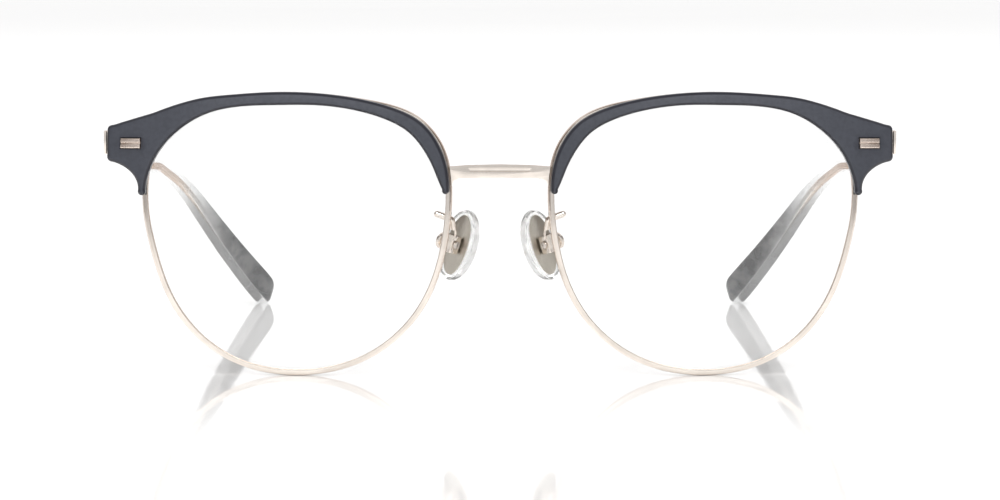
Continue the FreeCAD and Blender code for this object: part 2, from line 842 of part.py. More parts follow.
arm_rows = (
    (0.0, size("leg_end_height"), size("leg_thickness")),
    (0.10, size("leg_end_height") * 0.9, size("leg_thickness")),
    (0.22, size("arm_height") * 1.2, size("arm_thickness")),
    (0.36, size("arm_height"), size("arm_thickness")),
    (0.68, size("arm_height"), size("arm_thickness")),
    (1.0, size("arm_height"), size("arm_thickness")),
)
sleeve_start = size("sleeve_start")
arm_wires = []
for share, height, thickness in arm_rows:
    along = 0.05 + share * (sleeve_start - 0.05)
    point, up, side, _ = temple_at(along)
    arm_wires.append(section(point, up, side, height, thickness, 0.35))
arm_front = loft("arm_front", arm_wires)

ear_along = [bend_start + row[0] for row in EAR_STATIONS]
core_along = [sleeve_start - 4, (sleeve_start + bend_start) / 2, bend_start] + ear_along[:4]


def core_wires(grow, end):
    wires = []
    for along in core_along + [end]:
        point, up, side, _ = temple_at(along)
        wires.append(section(
            point, up, side, size("core_height") + grow, size("core_thickness") + grow, 0.3
        ))
    return wires


core_end = ear_along[3] + 5
core = loft("core", core_wires(0, core_end))
arm = fuse("temple_arm_left", [arm_front, core])

sleeve_rows = [(sleeve_start + 0.05, 2.7, 2.3), ((sleeve_start + bend_start) / 2, 2.55, 2.4)]
sleeve_rows.append((bend_start, 2.55, size("sleeve_thickness")))
for (along, _, height), step in zip(EAR_STATIONS[:-1], range(5)):
    thickness = size("sleeve_thickness") + 0.06 * step
    sleeve_rows.append((bend_start + along, height, thickness))
sleeve_wires = []
for along, height, thickness in sleeve_rows:
    point, up, side, _ = temple_at(along)
    sleeve_wires.append(section(point, up, side, height, thickness, 0.75))
last_height = EAR_STATIONS[-1][2]
last_thickness = size("sleeve_thickness") + 0.3
point, up, side, _ = temple_frame(temple_spline.LastParameter)
sleeve_wires.append(section(point, up, side, last_height, last_thickness, 0.75))
for point, up, side, scale in sleeve_tip_sections():
    thickness = last_thickness * (0.45 + 0.55 * scale)
    corner = min(0.75, thickness * 0.3, last_height * scale * 0.3)
    sleeve_wires.append(section(point, up, side, last_height * scale, thickness, corner))
sleeve = loft("sleeve", sleeve_wires)
channel = loft("core_channel", core_wires(2 * size("seat_gap"), core_end + size("seat_gap")))
tip = cut("temple_tip_left", sleeve, channel)

temple_leaf_plate = box(
    "temple_leaf_plate", Vector(leaf_inner, size("knuckle_radius") + 0.2, -stack / 2 + 0.2),
    "1.0", "leaf_reach - knuckle_radius - 0.2", "knuckle_height * 3 + swing_gap - 0.4",
)
temple_knuckle = knuckle_solid("temple_knuckle", -knuckle / 2)
temple_web = knuckle_web("temple_web", -knuckle / 2, True)
temple_leaf = fuse("temple_leaf", [temple_leaf_plate, temple_knuckle, temple_web])
temple_bore = cylinder(
    "temple_bore", Vector(0, 0, -5), Vector(0, 0, 1), "pin_radius + running_gap",
    "knuckle_height * 10",
)
temple_leaf_bored = cut("temple_leaf_bored", temple_leaf, temple_bore)
hinge_temple = cut("hinge_temple_left", temple_leaf_bored, arm_front)

# ---------------------------------------------------------------- bridge

rim_nose_x = centre_x - half_width
bar_middle = half_height + 10.9
bar_top = bar_middle + size("bar_height") / 2
bar_low = bar_middle - size("bar_height") / 2
bridge_y = 1.1
bridge_corners = [
    (0, bar_low + 0.1), (rim_nose_x - 1.6, bar_low), (rim_nose_x - 0.55, bar_low - 0.45),
    (rim_nose_x - 0.2, bar_low - 1.4), (rim_nose_x + 1.2, bar_low - 1.4),
    (rim_nose_x + 1.2, bar_top - 0.25), (rim_nose_x - 0.8, bar_top - 0.15),
    (rim_nose_x - 2.6, bar_top), (0, bar_top + 0.15),
]
bar_body, bar_sketch = sketched_body("bar_body", "XZ_Plane", bridge_corners)
pad_of(bar_body, bar_sketch, "bar_pad", "bar_depth", True)
bar_body.Placement = Placement(Vector(0, bridge_y, 0), Rotation())
channel_cut = box(
    "channel_cut", Vector(-1, bridge_y - 1, bar_middle + 0.05), "channel_length / 2 + 1",
    "channel_depth + 1", "channel_height",
)
bar_cut = cut("bar_cut", bar_body, channel_cut)
seat_copy = doc.addObject("Part::Compound", "seat_copy")
seat_copy.Links = [prism_rim_seat]
seat_copy.Placement = tilt_place
half_bridge = cut("half_bridge", bar_cut, seat_copy)


def mirrored(name, source):
    obj = doc.addObject("Part::Mirroring", name)
    obj.Source = source
    obj.Base = Vector(0, 0, 0)
    obj.Normal = Vector(1, 0, 0)
    return obj


bridge = fuse("bridge", [half_bridge, mirrored("half_bridge_mirrored", half_bridge)])

# ---------------------------------------------------------------- nose pad

pad_turn = Rotation(Vector(0, 1, 0), -size("pad_lean")).multiply(
    Rotation(Vector(0, 0, 1), size("pad_splay"))
)
pad_spot = Vector(rim_nose_x - 1.0, 8.3, 22.3)
pad_place = Placement(pad_spot, pad_turn)
pad_world = front_place.multiply(pad_place)


def oval(name, depth, long_radius, short_radius):
    """Oval in the pad's plane with its long axis up, at a depth behind the pad's front."""
    centre = Vector(0, depth, 0)
    top = Vector(0, depth, long_radius)
    side = Vector(short_radius, depth, 0)
    ellipse = Part.Ellipse(top, side, centre)
    return shaped(name, Part.Wire([ellipse.toShape()]))


PAD_LAYERS = (
    (0.0, 0.93), (0.12, 0.985), (0.35, 1.0), (0.6, 0.96), (0.82, 0.84), (0.96, 0.62), (1.0, 0.4),
)
pad_blank = doc.addObject("Part::Loft", "pad_blank")
pad_blank.Sections = [
    oval(
        "pad_layer_%d" % number, level * size("pad_thickness"),
        size("pad_length") / 2 * scale, size("pad_width") / 2 * scale,
    )
    for number, (level, scale) in enumerate(PAD_LAYERS)
]
pad_blank.Solid = True


def oval_plate(name, gap, length):
    outline = oval(
        name + "_outline", 0, size("insert_length") / 2 + gap, size("insert_width") / 2 + gap
    )
    obj = doc.addObject("Part::Extrusion", name)
    obj.Base = outline
    obj.Dir = Vector(0, 1, 0)
    obj.DirMode = "Custom"
    bind(obj, LengthFwd=length)
    obj.Solid = True
    return obj


insert_recess = oval_plate("insert_recess", size("seat_gap"), "insert_thickness + seat_gap")
nose_pad = cut("nose_pad_left", pad_blank, insert_recess)

pivot_depth = -1.55
boss_end = pivot_depth - 0.6
insert_plate = oval_plate("insert_plate", 0, "insert_thickness")
boss = box(
    "boss", Vector(-size("boss_width") / 2, boss_end, -size("boss_length") / 2),
    "boss_width", "2.3", "boss_length",
)
insert_blank = fuse("insert_blank", [insert_plate, boss])
boss_hole = cylinder(
    "boss_hole", Vector(-3, pivot_depth, 0), Vector(1, 0, 0), "pad_pin_radius + running_gap", "6"
)
pad_insert = cut("pad_insert_left", insert_blank, boss_hole)

box_open = -0.55
box_back = box_open - size("box_depth")
wall = size("box_wall")
box_outer = box(
    "box_outer", Vector(-size("box_width") / 2, box_back, -size("box_length") / 2),
    "box_width", "box_depth", "box_length",
)
box_inner = box(
    "box_inner",
    Vector(-size("box_width") / 2 + wall, box_back + wall, -size("box_length") / 2 + wall),
    "box_width - box_wall * 2", "box_depth", "box_length - box_wall * 2",
)
cup = cut("cup", box_outer, box_inner)
cup_hole = cylinder(
    "cup_hole", Vector(-3, pivot_depth, 0), Vector(1, 0, 0), "pad_pin_radius + seat_gap", "6"
)
pad_box = cut("pad_box_left", cup, cup_hole)

pin_place = Placement(
    Vector(-size("box_width") / 2 - size("seat_gap"), pivot_depth, 0),
    Rotation(Vector(0, 0, 1), Vector(1, 0, 0)),
)
pad_screw = slotted_screw(
    "pad_screw_left", pin_place, "pad_pin_radius", "box_width + 0.3", "pad_pin_head",
    "pad_pin_radius",
)


def rounded_path(points, radius):
    """Straight runs joined by tangent arcs of one radius."""
    edges = []
    start = points[0]
    for before, corner, after in zip(points, points[1:], points[2:]):
        into = (corner - before).normalize()
        out = (after - corner).normalize()
        turn = into.getAngle(out)
        trim = radius * math.tan(turn / 2)
        arc_start = corner - into * trim
        arc_end = corner + out * trim
        bisector = (out - into).normalize()
        middle = corner + bisector * (radius / math.cos(turn / 2) - radius)
        edges.append(Part.LineSegment(start, arc_start).toShape())
        edges.append(arc(arc_start, middle, arc_end))
        start = arc_end
    edges.append(Part.LineSegment(start, points[-1]).toShape())
    return Part.Wire(edges)


def from_pad(across, depth, up):
    return pad_place.multVec(Vector(across, depth, up))


rim_back_y = 3.05
wire_start = Vector(rim_nose_x + 2.4, rim_back_y + size("wire_radius") + 0.02, 28.0)
wire_points = [
    wire_start,
    Vector(rim_nose_x - 0.15, wire_start.y, 27.1),
    Vector(rim_nose_x - 0.55, wire_start.y + 1.0, 24.3),
    Vector(rim_nose_x + 1.9, wire_start.y + 1.5, 22.5),
    from_pad(size("box_width") / 2 + size("wire_radius"), pivot_depth - 0.6, 0),
]
wire_path = shaped("wire_path", rounded_path(wire_points, 0.75))
ring = Part.Circle(wire_points[0], (wire_points[1] - wire_points[0]).normalize(), size("wire_radius"))
wire_ring = shaped("wire_ring", Part.Wire([ring.toShape()]))
wire_sweep = doc.addObject("Part::Sweep", "wire_sweep")
wire_sweep.Sections = [wire_ring]
wire_sweep.Spine = (wire_path, ["Edge%d" % (i + 1) for i in range(len(wire_path.Shape.Edges))])
wire_sweep.Solid = True
coin_depth = pivot_depth - 0.6
coin = cylinder(
    "coin", Vector(size("box_width") / 2 + size("seat_gap"), coin_depth, 0), Vector(1, 0, 0),
    "coin_radius", "coin_thickness", pad_place,
)
wire_end = doc.addObject("Part::Sphere", "wire_end")
bind(wire_end, Radius="wire_radius")
wire_end.Placement = Placement(wire_start, Rotation())
arm_fused = fuse("pad_arm_fused", [wire_sweep, coin, wire_end])
box_room = box(
    "box_room",
    Vector(-size("box_width") / 2 - 1, box_back - 2, -size("box_length") / 2 - 1),
    "box_width + 1 + seat_gap", "box_depth + 3", "box_length + 2", pad_place,
)
arm_blank = cut("pad_arm_blank", arm_fused, box_room)
pin_room = cylinder(
    "pin_room", Vector(-3, pivot_depth, 0), Vector(1, 0, 0), "pad_pin_radius + seat_gap", "6",
    pad_place,
)
pad_arm = cut("pad_arm_left", arm_blank, pin_room)

# ---------------------------------------------------------------- placing and export

PLACES = (
    (lens_place, (rim, lens, block_upper, block_lower, lock_screw, brow, plaque, brow_screws)),
    (front_place, (endpiece, pad_arm)),
    (hinge_place, (hinge_front, hinge_temple, hinge_screw, arm, tip)),
    (pad_world, (nose_pad, pad_insert, pad_box, pad_screw)),
)
bridge.Placement = front_place
nodes = [bridge]
for place, pieces in PLACES:
    for piece in pieces:
        piece.Placement = place
        nodes.append(piece)
        name = piece.Name.replace("_left", "_right")
        nodes.append(mirrored(name, piece))
doc.recompute()

for obj in doc.Objects:
    if "Invalid" in obj.State or "Error" in obj.State:
        raise RuntimeError("%s: %s" % (obj.Name, obj.State))
for node in nodes:
    node.Label = node.Name
    if node.Shape.isNull() or not node.Shape.isValid() or not node.Shape.Solids:
        raise RuntimeError("bad shape: " + node.Label)

os.makedirs("parts", exist_ok=True)
for node in nodes:
    node.Shape.exportStep("parts/%s.step" % node.Label)
    solids = node.Shape.Solids
    print("%-28s solids %d  volume %9.3f" % (node.Label, len(solids), node.Shape.Volume))
print("hinge %.4f %.4f %.4f slope %.4f" % (
    hinge_x, front_y + hinge_y, hinge_z, temple_slope
))
pivot = pad_world.multVec(Vector(0, pivot_depth, 0))
rock = pad_turn.multVec(Vector(1, 0, 0))
print("pad pivot %.4f %.4f %.4f axis %.5f %.5f %.5f" % (*pivot, *rock))
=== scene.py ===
import json
import math

import bmesh
import bpy
import numpy as np
from bpy.props import FloatProperty, FloatVectorProperty, IntProperty, PointerProperty
from mathutils import Matrix, Vector
from mathutils.geometry import delaunay_2d_cdt

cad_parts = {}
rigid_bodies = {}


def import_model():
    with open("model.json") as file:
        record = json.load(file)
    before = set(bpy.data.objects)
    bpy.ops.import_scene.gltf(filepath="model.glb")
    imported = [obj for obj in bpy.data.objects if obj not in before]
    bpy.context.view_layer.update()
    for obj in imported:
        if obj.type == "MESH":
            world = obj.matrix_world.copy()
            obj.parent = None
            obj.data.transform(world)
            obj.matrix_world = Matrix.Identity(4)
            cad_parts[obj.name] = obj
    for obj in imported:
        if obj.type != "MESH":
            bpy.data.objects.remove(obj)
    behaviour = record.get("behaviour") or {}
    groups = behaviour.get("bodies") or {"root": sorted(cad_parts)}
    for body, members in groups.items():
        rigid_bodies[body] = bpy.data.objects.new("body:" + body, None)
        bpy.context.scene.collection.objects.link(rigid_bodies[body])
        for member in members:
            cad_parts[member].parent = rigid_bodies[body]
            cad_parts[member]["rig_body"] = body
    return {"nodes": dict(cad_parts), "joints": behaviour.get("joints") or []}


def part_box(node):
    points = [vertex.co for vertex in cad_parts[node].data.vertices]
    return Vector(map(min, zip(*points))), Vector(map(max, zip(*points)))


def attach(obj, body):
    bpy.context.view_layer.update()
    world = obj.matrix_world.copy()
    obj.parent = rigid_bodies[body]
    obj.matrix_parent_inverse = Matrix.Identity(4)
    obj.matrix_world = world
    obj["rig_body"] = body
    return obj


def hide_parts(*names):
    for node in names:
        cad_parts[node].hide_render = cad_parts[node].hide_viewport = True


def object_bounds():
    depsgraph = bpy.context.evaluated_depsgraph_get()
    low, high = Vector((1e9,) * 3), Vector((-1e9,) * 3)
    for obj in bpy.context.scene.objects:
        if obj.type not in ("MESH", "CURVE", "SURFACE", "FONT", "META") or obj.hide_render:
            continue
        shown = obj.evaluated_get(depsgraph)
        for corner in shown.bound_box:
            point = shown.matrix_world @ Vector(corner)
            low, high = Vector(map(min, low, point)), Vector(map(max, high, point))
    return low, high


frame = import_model()
CAD_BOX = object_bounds()

bl_info = {
    "name": "Half-Rim Eyeglasses",
    "version": (1, 0, 0),
    "blender": (4, 5, 0),
    "location": "View3D > Sidebar > Eyeglasses",
    "description": "Builds the finished pieces and materials of a pair of half-rim eyeglasses",
    "category": "Object",
}

SIDES = (("left", 1), ("right", -1))
MM = 0.001


# ---------------------------------------------------------------- settings


def length(name, text, millimetres):
    """A length setting, given in millimetres and kept in metres."""
    return FloatProperty(
        name=name, description=text, default=millimetres * MM, min=0.0, precision=6,
        unit="LENGTH", subtype="DISTANCE",
    )


def colour(name, text, red, green, blue):
    """A colour setting in scene-linear values."""
    return FloatVectorProperty(
        name=name, description=text, default=(red, green, blue, 1.0), size=4,
        min=0.0, max=1.0, subtype="COLOR",
    )


def share(name, text, value):
    """A setting between nothing and all."""
    return FloatProperty(
        name=name, description=text, default=value, min=0.0, max=1.0, subtype="FACTOR"
    )


class EyeglassShapes(bpy.types.PropertyGroup):
    """Sizes that shape the finished pieces."""

    lens_radius: length("Lens radius", "Radius of the front surface of the lenses", 130.0)
    face_form: FloatProperty(
        name="Face form", description="Turn of each lens about the vertical",
        default=math.radians(4.0), unit="ROTATION", subtype="ANGLE",
    )
    rim_proud: length("Rim proud", "How far a rim stands in front of its lens", 0.25)
    brow_thickness: length("Brow thickness", "Thickness of the acetate brow covers", 2.2)
    brow_bevel: length("Brow bevel", "Width of the bevel round a brow cover", 0.45)
    brow_back_round: length("Brow back round", "Rounding of a brow cover's rear edge", 0.14)
    recess_depth: length("Recess depth", "Depth of the pocket that holds a plaque", 0.35)
    bridge_round: length("Bridge round", "Rounding of the bridge's edges", 0.26)
    fitting_round: length("Fitting round", "Rounding of the hinges, blocks and boxes", 0.1)
    screw_round: length("Screw round", "Rounding of the edges of screw heads", 0.06)
    plaque_round: length("Plaque round", "Rounding of the edges of the plaques", 0.05)
    sleeve_slices: IntProperty(
        name="Sleeve slices", description="Rows in which a sleeve's centre is found",
        default=160, min=20,
    )
    pad_length: length("Pad length", "Height of a nose pad", 12.7)
    pad_width: length("Pad width", "Width of a nose pad", 7.4)
    pad_thickness: length("Pad thickness", "Thickness of a nose pad", 2.4)
    pad_lean: FloatProperty(
        name="Pad lean", description="Lean of the nose pads towards the nose",
        default=math.radians(17.0), unit="ROTATION", subtype="ANGLE",
    )
    pad_pivot: length("Pad pivot", "Distance of a pad's pivot from its plate", 1.55)
    insert_length: length("Insert length", "Height of the plate in a nose pad", 10.8)
    insert_width: length("Insert width", "Width of the plate in a nose pad", 5.0)
    insert_thickness: length("Insert thickness", "Thickness of the plate in a nose pad", 0.52)


class EyeglassFinishes(bpy.types.PropertyGroup):
    """Colours and finishes of the materials."""

    plate: colour("Plated metal", "Champagne plate on the rims and fittings", 0.84, 0.77, 0.70)
    plate_edge: colour("Plated edge", "Plated metal seen at a grazing angle", 0.62, 0.50, 0.43)
    screw: colour("Screw steel", "Bright steel of the screws", 0.74, 0.70, 0.66)
    plaque: colour("Plaque metal", "Warm satin metal of the brow plaques", 0.83, 0.72, 0.64)
    insert: colour("Insert metal", "Satin metal plate inside the nose pads", 0.66, 0.62, 0.55)
    # The bevel colour: used for the specks of the grain, and as painted shade on the bevels, rear edge
    # and plaque pocket of the brow covers.
    brow: colour("Brow acetate", "Matte slate acetate of the brow covers", 0.046, 0.050, 0.062)
    speck_and_bevel_shade: colour("Brow edge", "Acetate on the bevels of the brow covers", 0.022, 0.023, 0.031)
    tip_clear: colour("Tip crystal", "Clear acetate of the temple sleeves", 0.93, 0.94, 0.94)
    tip_dark: colour("Tip smoke", "Smoke acetate at the ends of the temples", 0.030, 0.034, 0.038)
    silicone: colour("Pad silicone", "Clear silicone of the nose pads", 0.94, 0.945, 0.94)
    lens: colour("Lens", "Clear lens", 0.985, 0.99, 0.99)
    polish: share("Polish roughness", "Roughness of the polished metal", 0.13)
    satin: share("Satin roughness", "Roughness of the matte acetate", 0.46)
    floor_tone: colour("Floor", "Pale floor", 0.93, 0.93, 0.93)


class EyeglassStudio(bpy.types.PropertyGroup):
    """Camera and light."""

    camera_distance: length("Camera distance", "From the camera to the front", 700.0)
    camera_height: length("Camera height", "Height of the camera over the floor", 77.5)
    camera_pitch: FloatProperty(
        name="Camera pitch", description="How far the camera looks down",
        default=math.radians(4.535), unit="ROTATION", subtype="ANGLE",
    )
    focal_length: FloatProperty(
        name="Focal length", description="Focal length of the camera in millimetres",
        default=146.16, unit="CAMERA",
    )
    sky: FloatProperty(name="Sky", description="Strength of the studio's light", default=1.0)
    floor_reach: FloatProperty(
        name="Floor reach", description="Half the width of the floor",
        default=30.0, subtype="DISTANCE",
    )
    floor_segments: IntProperty(
        name="Floor segments", description="Divisions of the floor", default=24, min=1
    )


# ---------------------------------------------------------------- node helpers


def add_node(tree, kind, **values):
    """A shader node with some of its settings filled in."""
    node = tree.nodes.new(kind)
    for key, value in values.items():
        setattr(node, key, value)
    return node


def feed(tree, source, target):
    tree.links.new(source, target)


def math_node(tree, operation, first, second=None):
    """A Math node; each input is a socket or a number."""
    node = add_node(tree, "ShaderNodeMath", operation=operation)
    for index, value in enumerate((first, second)):
        if value is None:
            continue
        if isinstance(value, bpy.types.NodeSocket):
            feed(tree, value, node.inputs[index])
        else:
            node.inputs[index].default_value = value
    return node.outputs[0]


def ranged(tree, value, low, high, new_low=0.0, new_high=1.0):
    """A value carried smoothly from one range to another."""
    node = add_node(tree, "ShaderNodeMapRange", interpolation_type="SMOOTHSTEP")
    feed(tree, value, node.inputs["Value"])
    for name, number in (
        ("From Min", low), ("From Max", high), ("To Min", new_low), ("To Max", new_high)
    ):
        if isinstance(number, bpy.types.NodeSocket):
            feed(tree, number, node.inputs[name])
        else:
            node.inputs[name].default_value = number
    return node.outputs["Result"]


def blended(tree, factor, first, second, mode="MIX"):
    """Two colours mixed by a factor; each is a socket or a colour."""
    node = add_node(tree, "ShaderNodeMix", data_type="RGBA", blend_type=mode)
    feed(tree, factor, node.inputs["Factor"])
    for name, value in (("A", first), ("B", second)):
        socket = [s for s in node.inputs if s.name == name and s.type == "RGBA"][0]
        if isinstance(value, bpy.types.NodeSocket):
            feed(tree, value, socket)
        else:
            socket.default_value = value
    return [s for s in node.outputs if s.type == "RGBA"][0]


def noise(tree, position, scale, detail=3.0, roughness=0.5):
    """Noise value at a position; the scale is per metre."""
    node = add_node(tree, "ShaderNodeTexNoise")
    feed(tree, position, node.inputs["Vector"])
    if isinstance(scale, bpy.types.NodeSocket):
        feed(tree, scale, node.inputs["Scale"])
    else:
        node.inputs["Scale"].default_value = scale
    node.inputs["Detail"].default_value = detail
    node.inputs["Roughness"].default_value = roughness
    return node.outputs["Fac"]


def stretched(tree, position, factors):
    """A position stretched along its axes."""
    node = add_node(tree, "ShaderNodeVectorMath", operation="MULTIPLY")
    feed(tree, position, node.inputs[0])
    node.inputs[1].default_value = factors
    return node.outputs["Vector"]


def new_effect(name, inputs, outputs):
    """An empty shared effect with named inputs and outputs."""
    group = bpy.data.node_groups.new(name, "ShaderNodeTree")
    for label, kind, value in inputs:
        socket = group.interface.new_socket(label, in_out="INPUT", socket_type=kind)
        socket.default_value = value
    for label, kind in outputs:
        group.interface.new_socket(label, in_out="OUTPUT", socket_type=kind)
    entry = add_node(group, "NodeGroupInput")
    leave = add_node(group, "NodeGroupOutput")
    return group, entry.outputs, leave.inputs


def use_effect(tree, name, **values):
    """A shared effect placed in a material with its own values."""
    node = add_node(tree, "ShaderNodeGroup")
    node.node_tree = bpy.data.node_groups[name]
    for key, value in values.items():
        socket = node.inputs[key.replace("_", " ").capitalize()]
        if isinstance(value, bpy.types.NodeSocket):
            feed(tree, value, socket)
        else:
            socket.default_value = value
    return node.outputs


def new_material(name, **settings):
    """A material with a Principled BSDF whose uniform settings are filled in."""
    material = bpy.data.materials.new(name)
    material.use_nodes = True
    shader = material.node_tree.nodes["Principled BSDF"]
    for key, value in settings.items():
        shader.inputs[key.replace("_", " ")].default_value = value
    return material, material.node_tree, shader.inputs


def bumped(tree, height, strength, distance, target):
    """A bump from a height, fed to a shader's Normal."""
    node = add_node(tree, "ShaderNodeBump")
    node.inputs["Strength"].default_value = strength
    node.inputs["Distance"].default_value = distance
    feed(tree, height, node.inputs["Height"])
    feed(tree, node.outputs["Normal"], target)


def object_position(tree):
    """Position on the piece itself, which stays with it as it moves."""
    return add_node(tree, "ShaderNodeTexCoord").outputs["Object"]


# ---------------------------------------------------------------- shared effects


def make_polish_effect():
    """Cloudy tone, uneven gloss and hairline marks of a hand-polished surface."""
    group, entry, leave = new_effect(
        "Polish",
        (
            ("Tone", "NodeSocketColor", (0.8, 0.8, 0.8, 1.0)),
            ("Shade", "NodeSocketColor", (0.6, 0.6, 0.6, 1.0)),
            ("Cloud scale", "NodeSocketFloat", 180.0),
            ("Hair scale", "NodeSocketFloat", 2600.0),
            ("Gloss low", "NodeSocketFloat", 0.1),
            ("Gloss high", "NodeSocketFloat", 0.2),
        ),
        (
            ("Colour", "NodeSocketColor"),
            ("Roughness", "NodeSocketFloat"),
            ("Height", "NodeSocketFloat"),
        ),
    )
    position = object_position(group)
    cloud = noise(group, position, entry["Cloud scale"], 4.0, 0.55)
    grain = noise(group, position, entry["Hair scale"], 2.0, 0.6)
    hairs = noise(group, stretched(group, position, (0.12, 0.5, 1.0)), entry["Hair scale"], 3.0, 0.7)
    cloudy = ranged(group, cloud, 0.38, 0.66)
    feed(group, blended(group, cloudy, entry["Tone"], entry["Shade"]), leave["Colour"])
    wear_and_painted_sheen = math_node(group, "ADD", math_node(group, "MULTIPLY", cloudy, 0.6),
                     math_node(group, "MULTIPLY", ranged(group, hairs, 0.45, 0.75), 0.4))
    rough = ranged(group, wear_and_painted_sheen, 0.0, 1.0, entry["Gloss low"], entry["Gloss high"])
    feed(group, rough, leave["Roughness"])
    height = math_node(group, "ADD", math_node(group, "MULTIPLY", grain, 0.4),
                       math_node(group, "MULTIPLY", hairs, 0.6))
    feed(group, height, leave["Height"])


def make_brushed_effect():
    """Fine lines of a brushed face, running across the piece."""
    group, entry, leave = new_effect(
        "Brushed",
        (
            ("Tone", "NodeSocketColor", (0.8, 0.8, 0.8, 1.0)),
            ("Shade", "NodeSocketColor", (0.6, 0.6, 0.6, 1.0)),
            ("Line scale", "NodeSocketFloat", 9000.0),
            ("Gloss low", "NodeSocketFloat", 0.2),
            ("Gloss high", "NodeSocketFloat", 0.4),
        ),
        (
            ("Colour", "NodeSocketColor"),
            ("Roughness", "NodeSocketFloat"),
            ("Height", "NodeSocketFloat"),
        ),
    )
    position = object_position(group)
    lines = noise(group, stretched(group, position, (0.04, 1.0, 1.0)), entry["Line scale"], 3.0, 0.65)
    cloud = noise(group, position, 420.0, 3.0, 0.5)
    streak = ranged(group, lines, 0.3, 0.7)
    feed(group, blended(group, streak, entry["Tone"], entry["Shade"]), leave["Colour"])
    mixed = math_node(group, "MULTIPLY", math_node(group, "ADD", streak, cloud), 0.5)
    feed(group, ranged(group, mixed, 0.1, 0.9, entry["Gloss low"], entry["Gloss high"]),
         leave["Roughness"])
    feed(group, streak, leave["Height"])


def make_edge_effect():
    """Mask of a piece's edges and inner corners, from the turn of its surface."""
    group, entry, leave = new_effect(
        "Edges",
        (
            ("Width", "NodeSocketFloat", 0.0001),
            ("Strength", "NodeSocketFloat", 1.0),
        ),
        (("Mask", "NodeSocketFloat"),),
    )
    bevel = add_node(group, "ShaderNodeBevel", samples=6)
    feed(group, entry["Width"], bevel.inputs["Radius"])
    surface = add_node(group, "ShaderNodeNewGeometry")
    dot = add_node(group, "ShaderNodeVectorMath", operation="DOT_PRODUCT")
    feed(group, bevel.outputs["Normal"], dot.inputs[0])
    feed(group, surface.outputs["Normal"], dot.inputs[1])
    turned = math_node(group, "SUBTRACT", 1.0, dot.outputs["Value"])
    mask = ranged(group, turned, 0.005, 0.16)
    feed(group, math_node(group, "MULTIPLY", mask, entry["Strength"]), leave["Mask"])


def make_handling_effect():
    """Faint smudges and specks left by handling on a glossy surface."""
    group, entry, leave = new_effect(
        "Handling",
        (
            ("Smudge scale", "NodeSocketFloat", 90.0),
            ("Gloss low", "NodeSocketFloat", 0.02),
            ("Gloss high", "NodeSocketFloat", 0.1),
        ),
        (
            ("Roughness", "NodeSocketFloat"),
            ("Mask", "NodeSocketFloat"),
            ("Height", "NodeSocketFloat"),
        ),
    )
    position = object_position(group)
    smudge = ranged(group, noise(group, position, entry["Smudge scale"], 5.0, 0.6), 0.46, 0.72)
    fine = noise(group, position, 1400.0, 2.0, 0.5)
    feed(group, ranged(group, smudge, 0.0, 1.0, entry["Gloss low"], entry["Gloss high"]),
         leave["Roughness"])
    feed(group, smudge, leave["Mask"])
    feed(group, fine, leave["Height"])


# ---------------------------------------------------------------- materials


def metal_material(name, tone, edge_tone, gloss_low, gloss_high, cloud=180.0, hairs=2600.0,
                   bump=0.05, edge_width=0.00008):
    """Polished plated metal, its colour brighter along edges and inner corners, and darker at grazing
    angles.
    """
    material, tree, shader = new_material(name, Metallic=1.0, Specular_Tint=edge_tone)
    shade = tuple(channel * 0.9 for channel in tone[:3]) + (1.0,)
    polish = use_effect(
        tree, "Polish", Tone=tone, Shade=shade, Cloud_scale=cloud, Hair_scale=hairs,
        Gloss_low=gloss_low, Gloss_high=gloss_high,
    )
    edges = use_effect(tree, "Edges", Width=edge_width, Strength=0.5)
    bright = tuple(min(1.0, channel * 1.07) for channel in tone[:3]) + (1.0,)
    feed(tree, blended(tree, edges["Mask"], polish["Colour"], bright), shader["Base Color"])
    feed(tree, polish["Roughness"], shader["Roughness"])
    bumped(tree, polish["Height"], bump, 0.00002, shader["Normal"])
    return material


def brushed_material(name, tone, edge_tone, gloss_low, gloss_high):
    """Satin metal with fine lines across the piece."""
    material, tree, shader = new_material(name, Metallic=1.0, Specular_Tint=edge_tone)
    shade = tuple(channel * 0.84 for channel in tone[:3]) + (1.0,)
    lines = use_effect(
        tree, "Brushed", Tone=tone, Shade=shade, Gloss_low=gloss_low, Gloss_high=gloss_high
    )
    edges = use_effect(tree, "Edges", Width=0.00006, Strength=0.6)
    bright = tuple(min(1.0, channel * 1.1) for channel in tone[:3]) + (1.0,)
    feed(tree, blended(tree, edges["Mask"], lines["Colour"], bright), shader["Base Color"])
    feed(tree, lines["Roughness"], shader["Roughness"])
    bumped(tree, lines["Height"], 0.12, 0.00001, shader["Normal"])
    return material


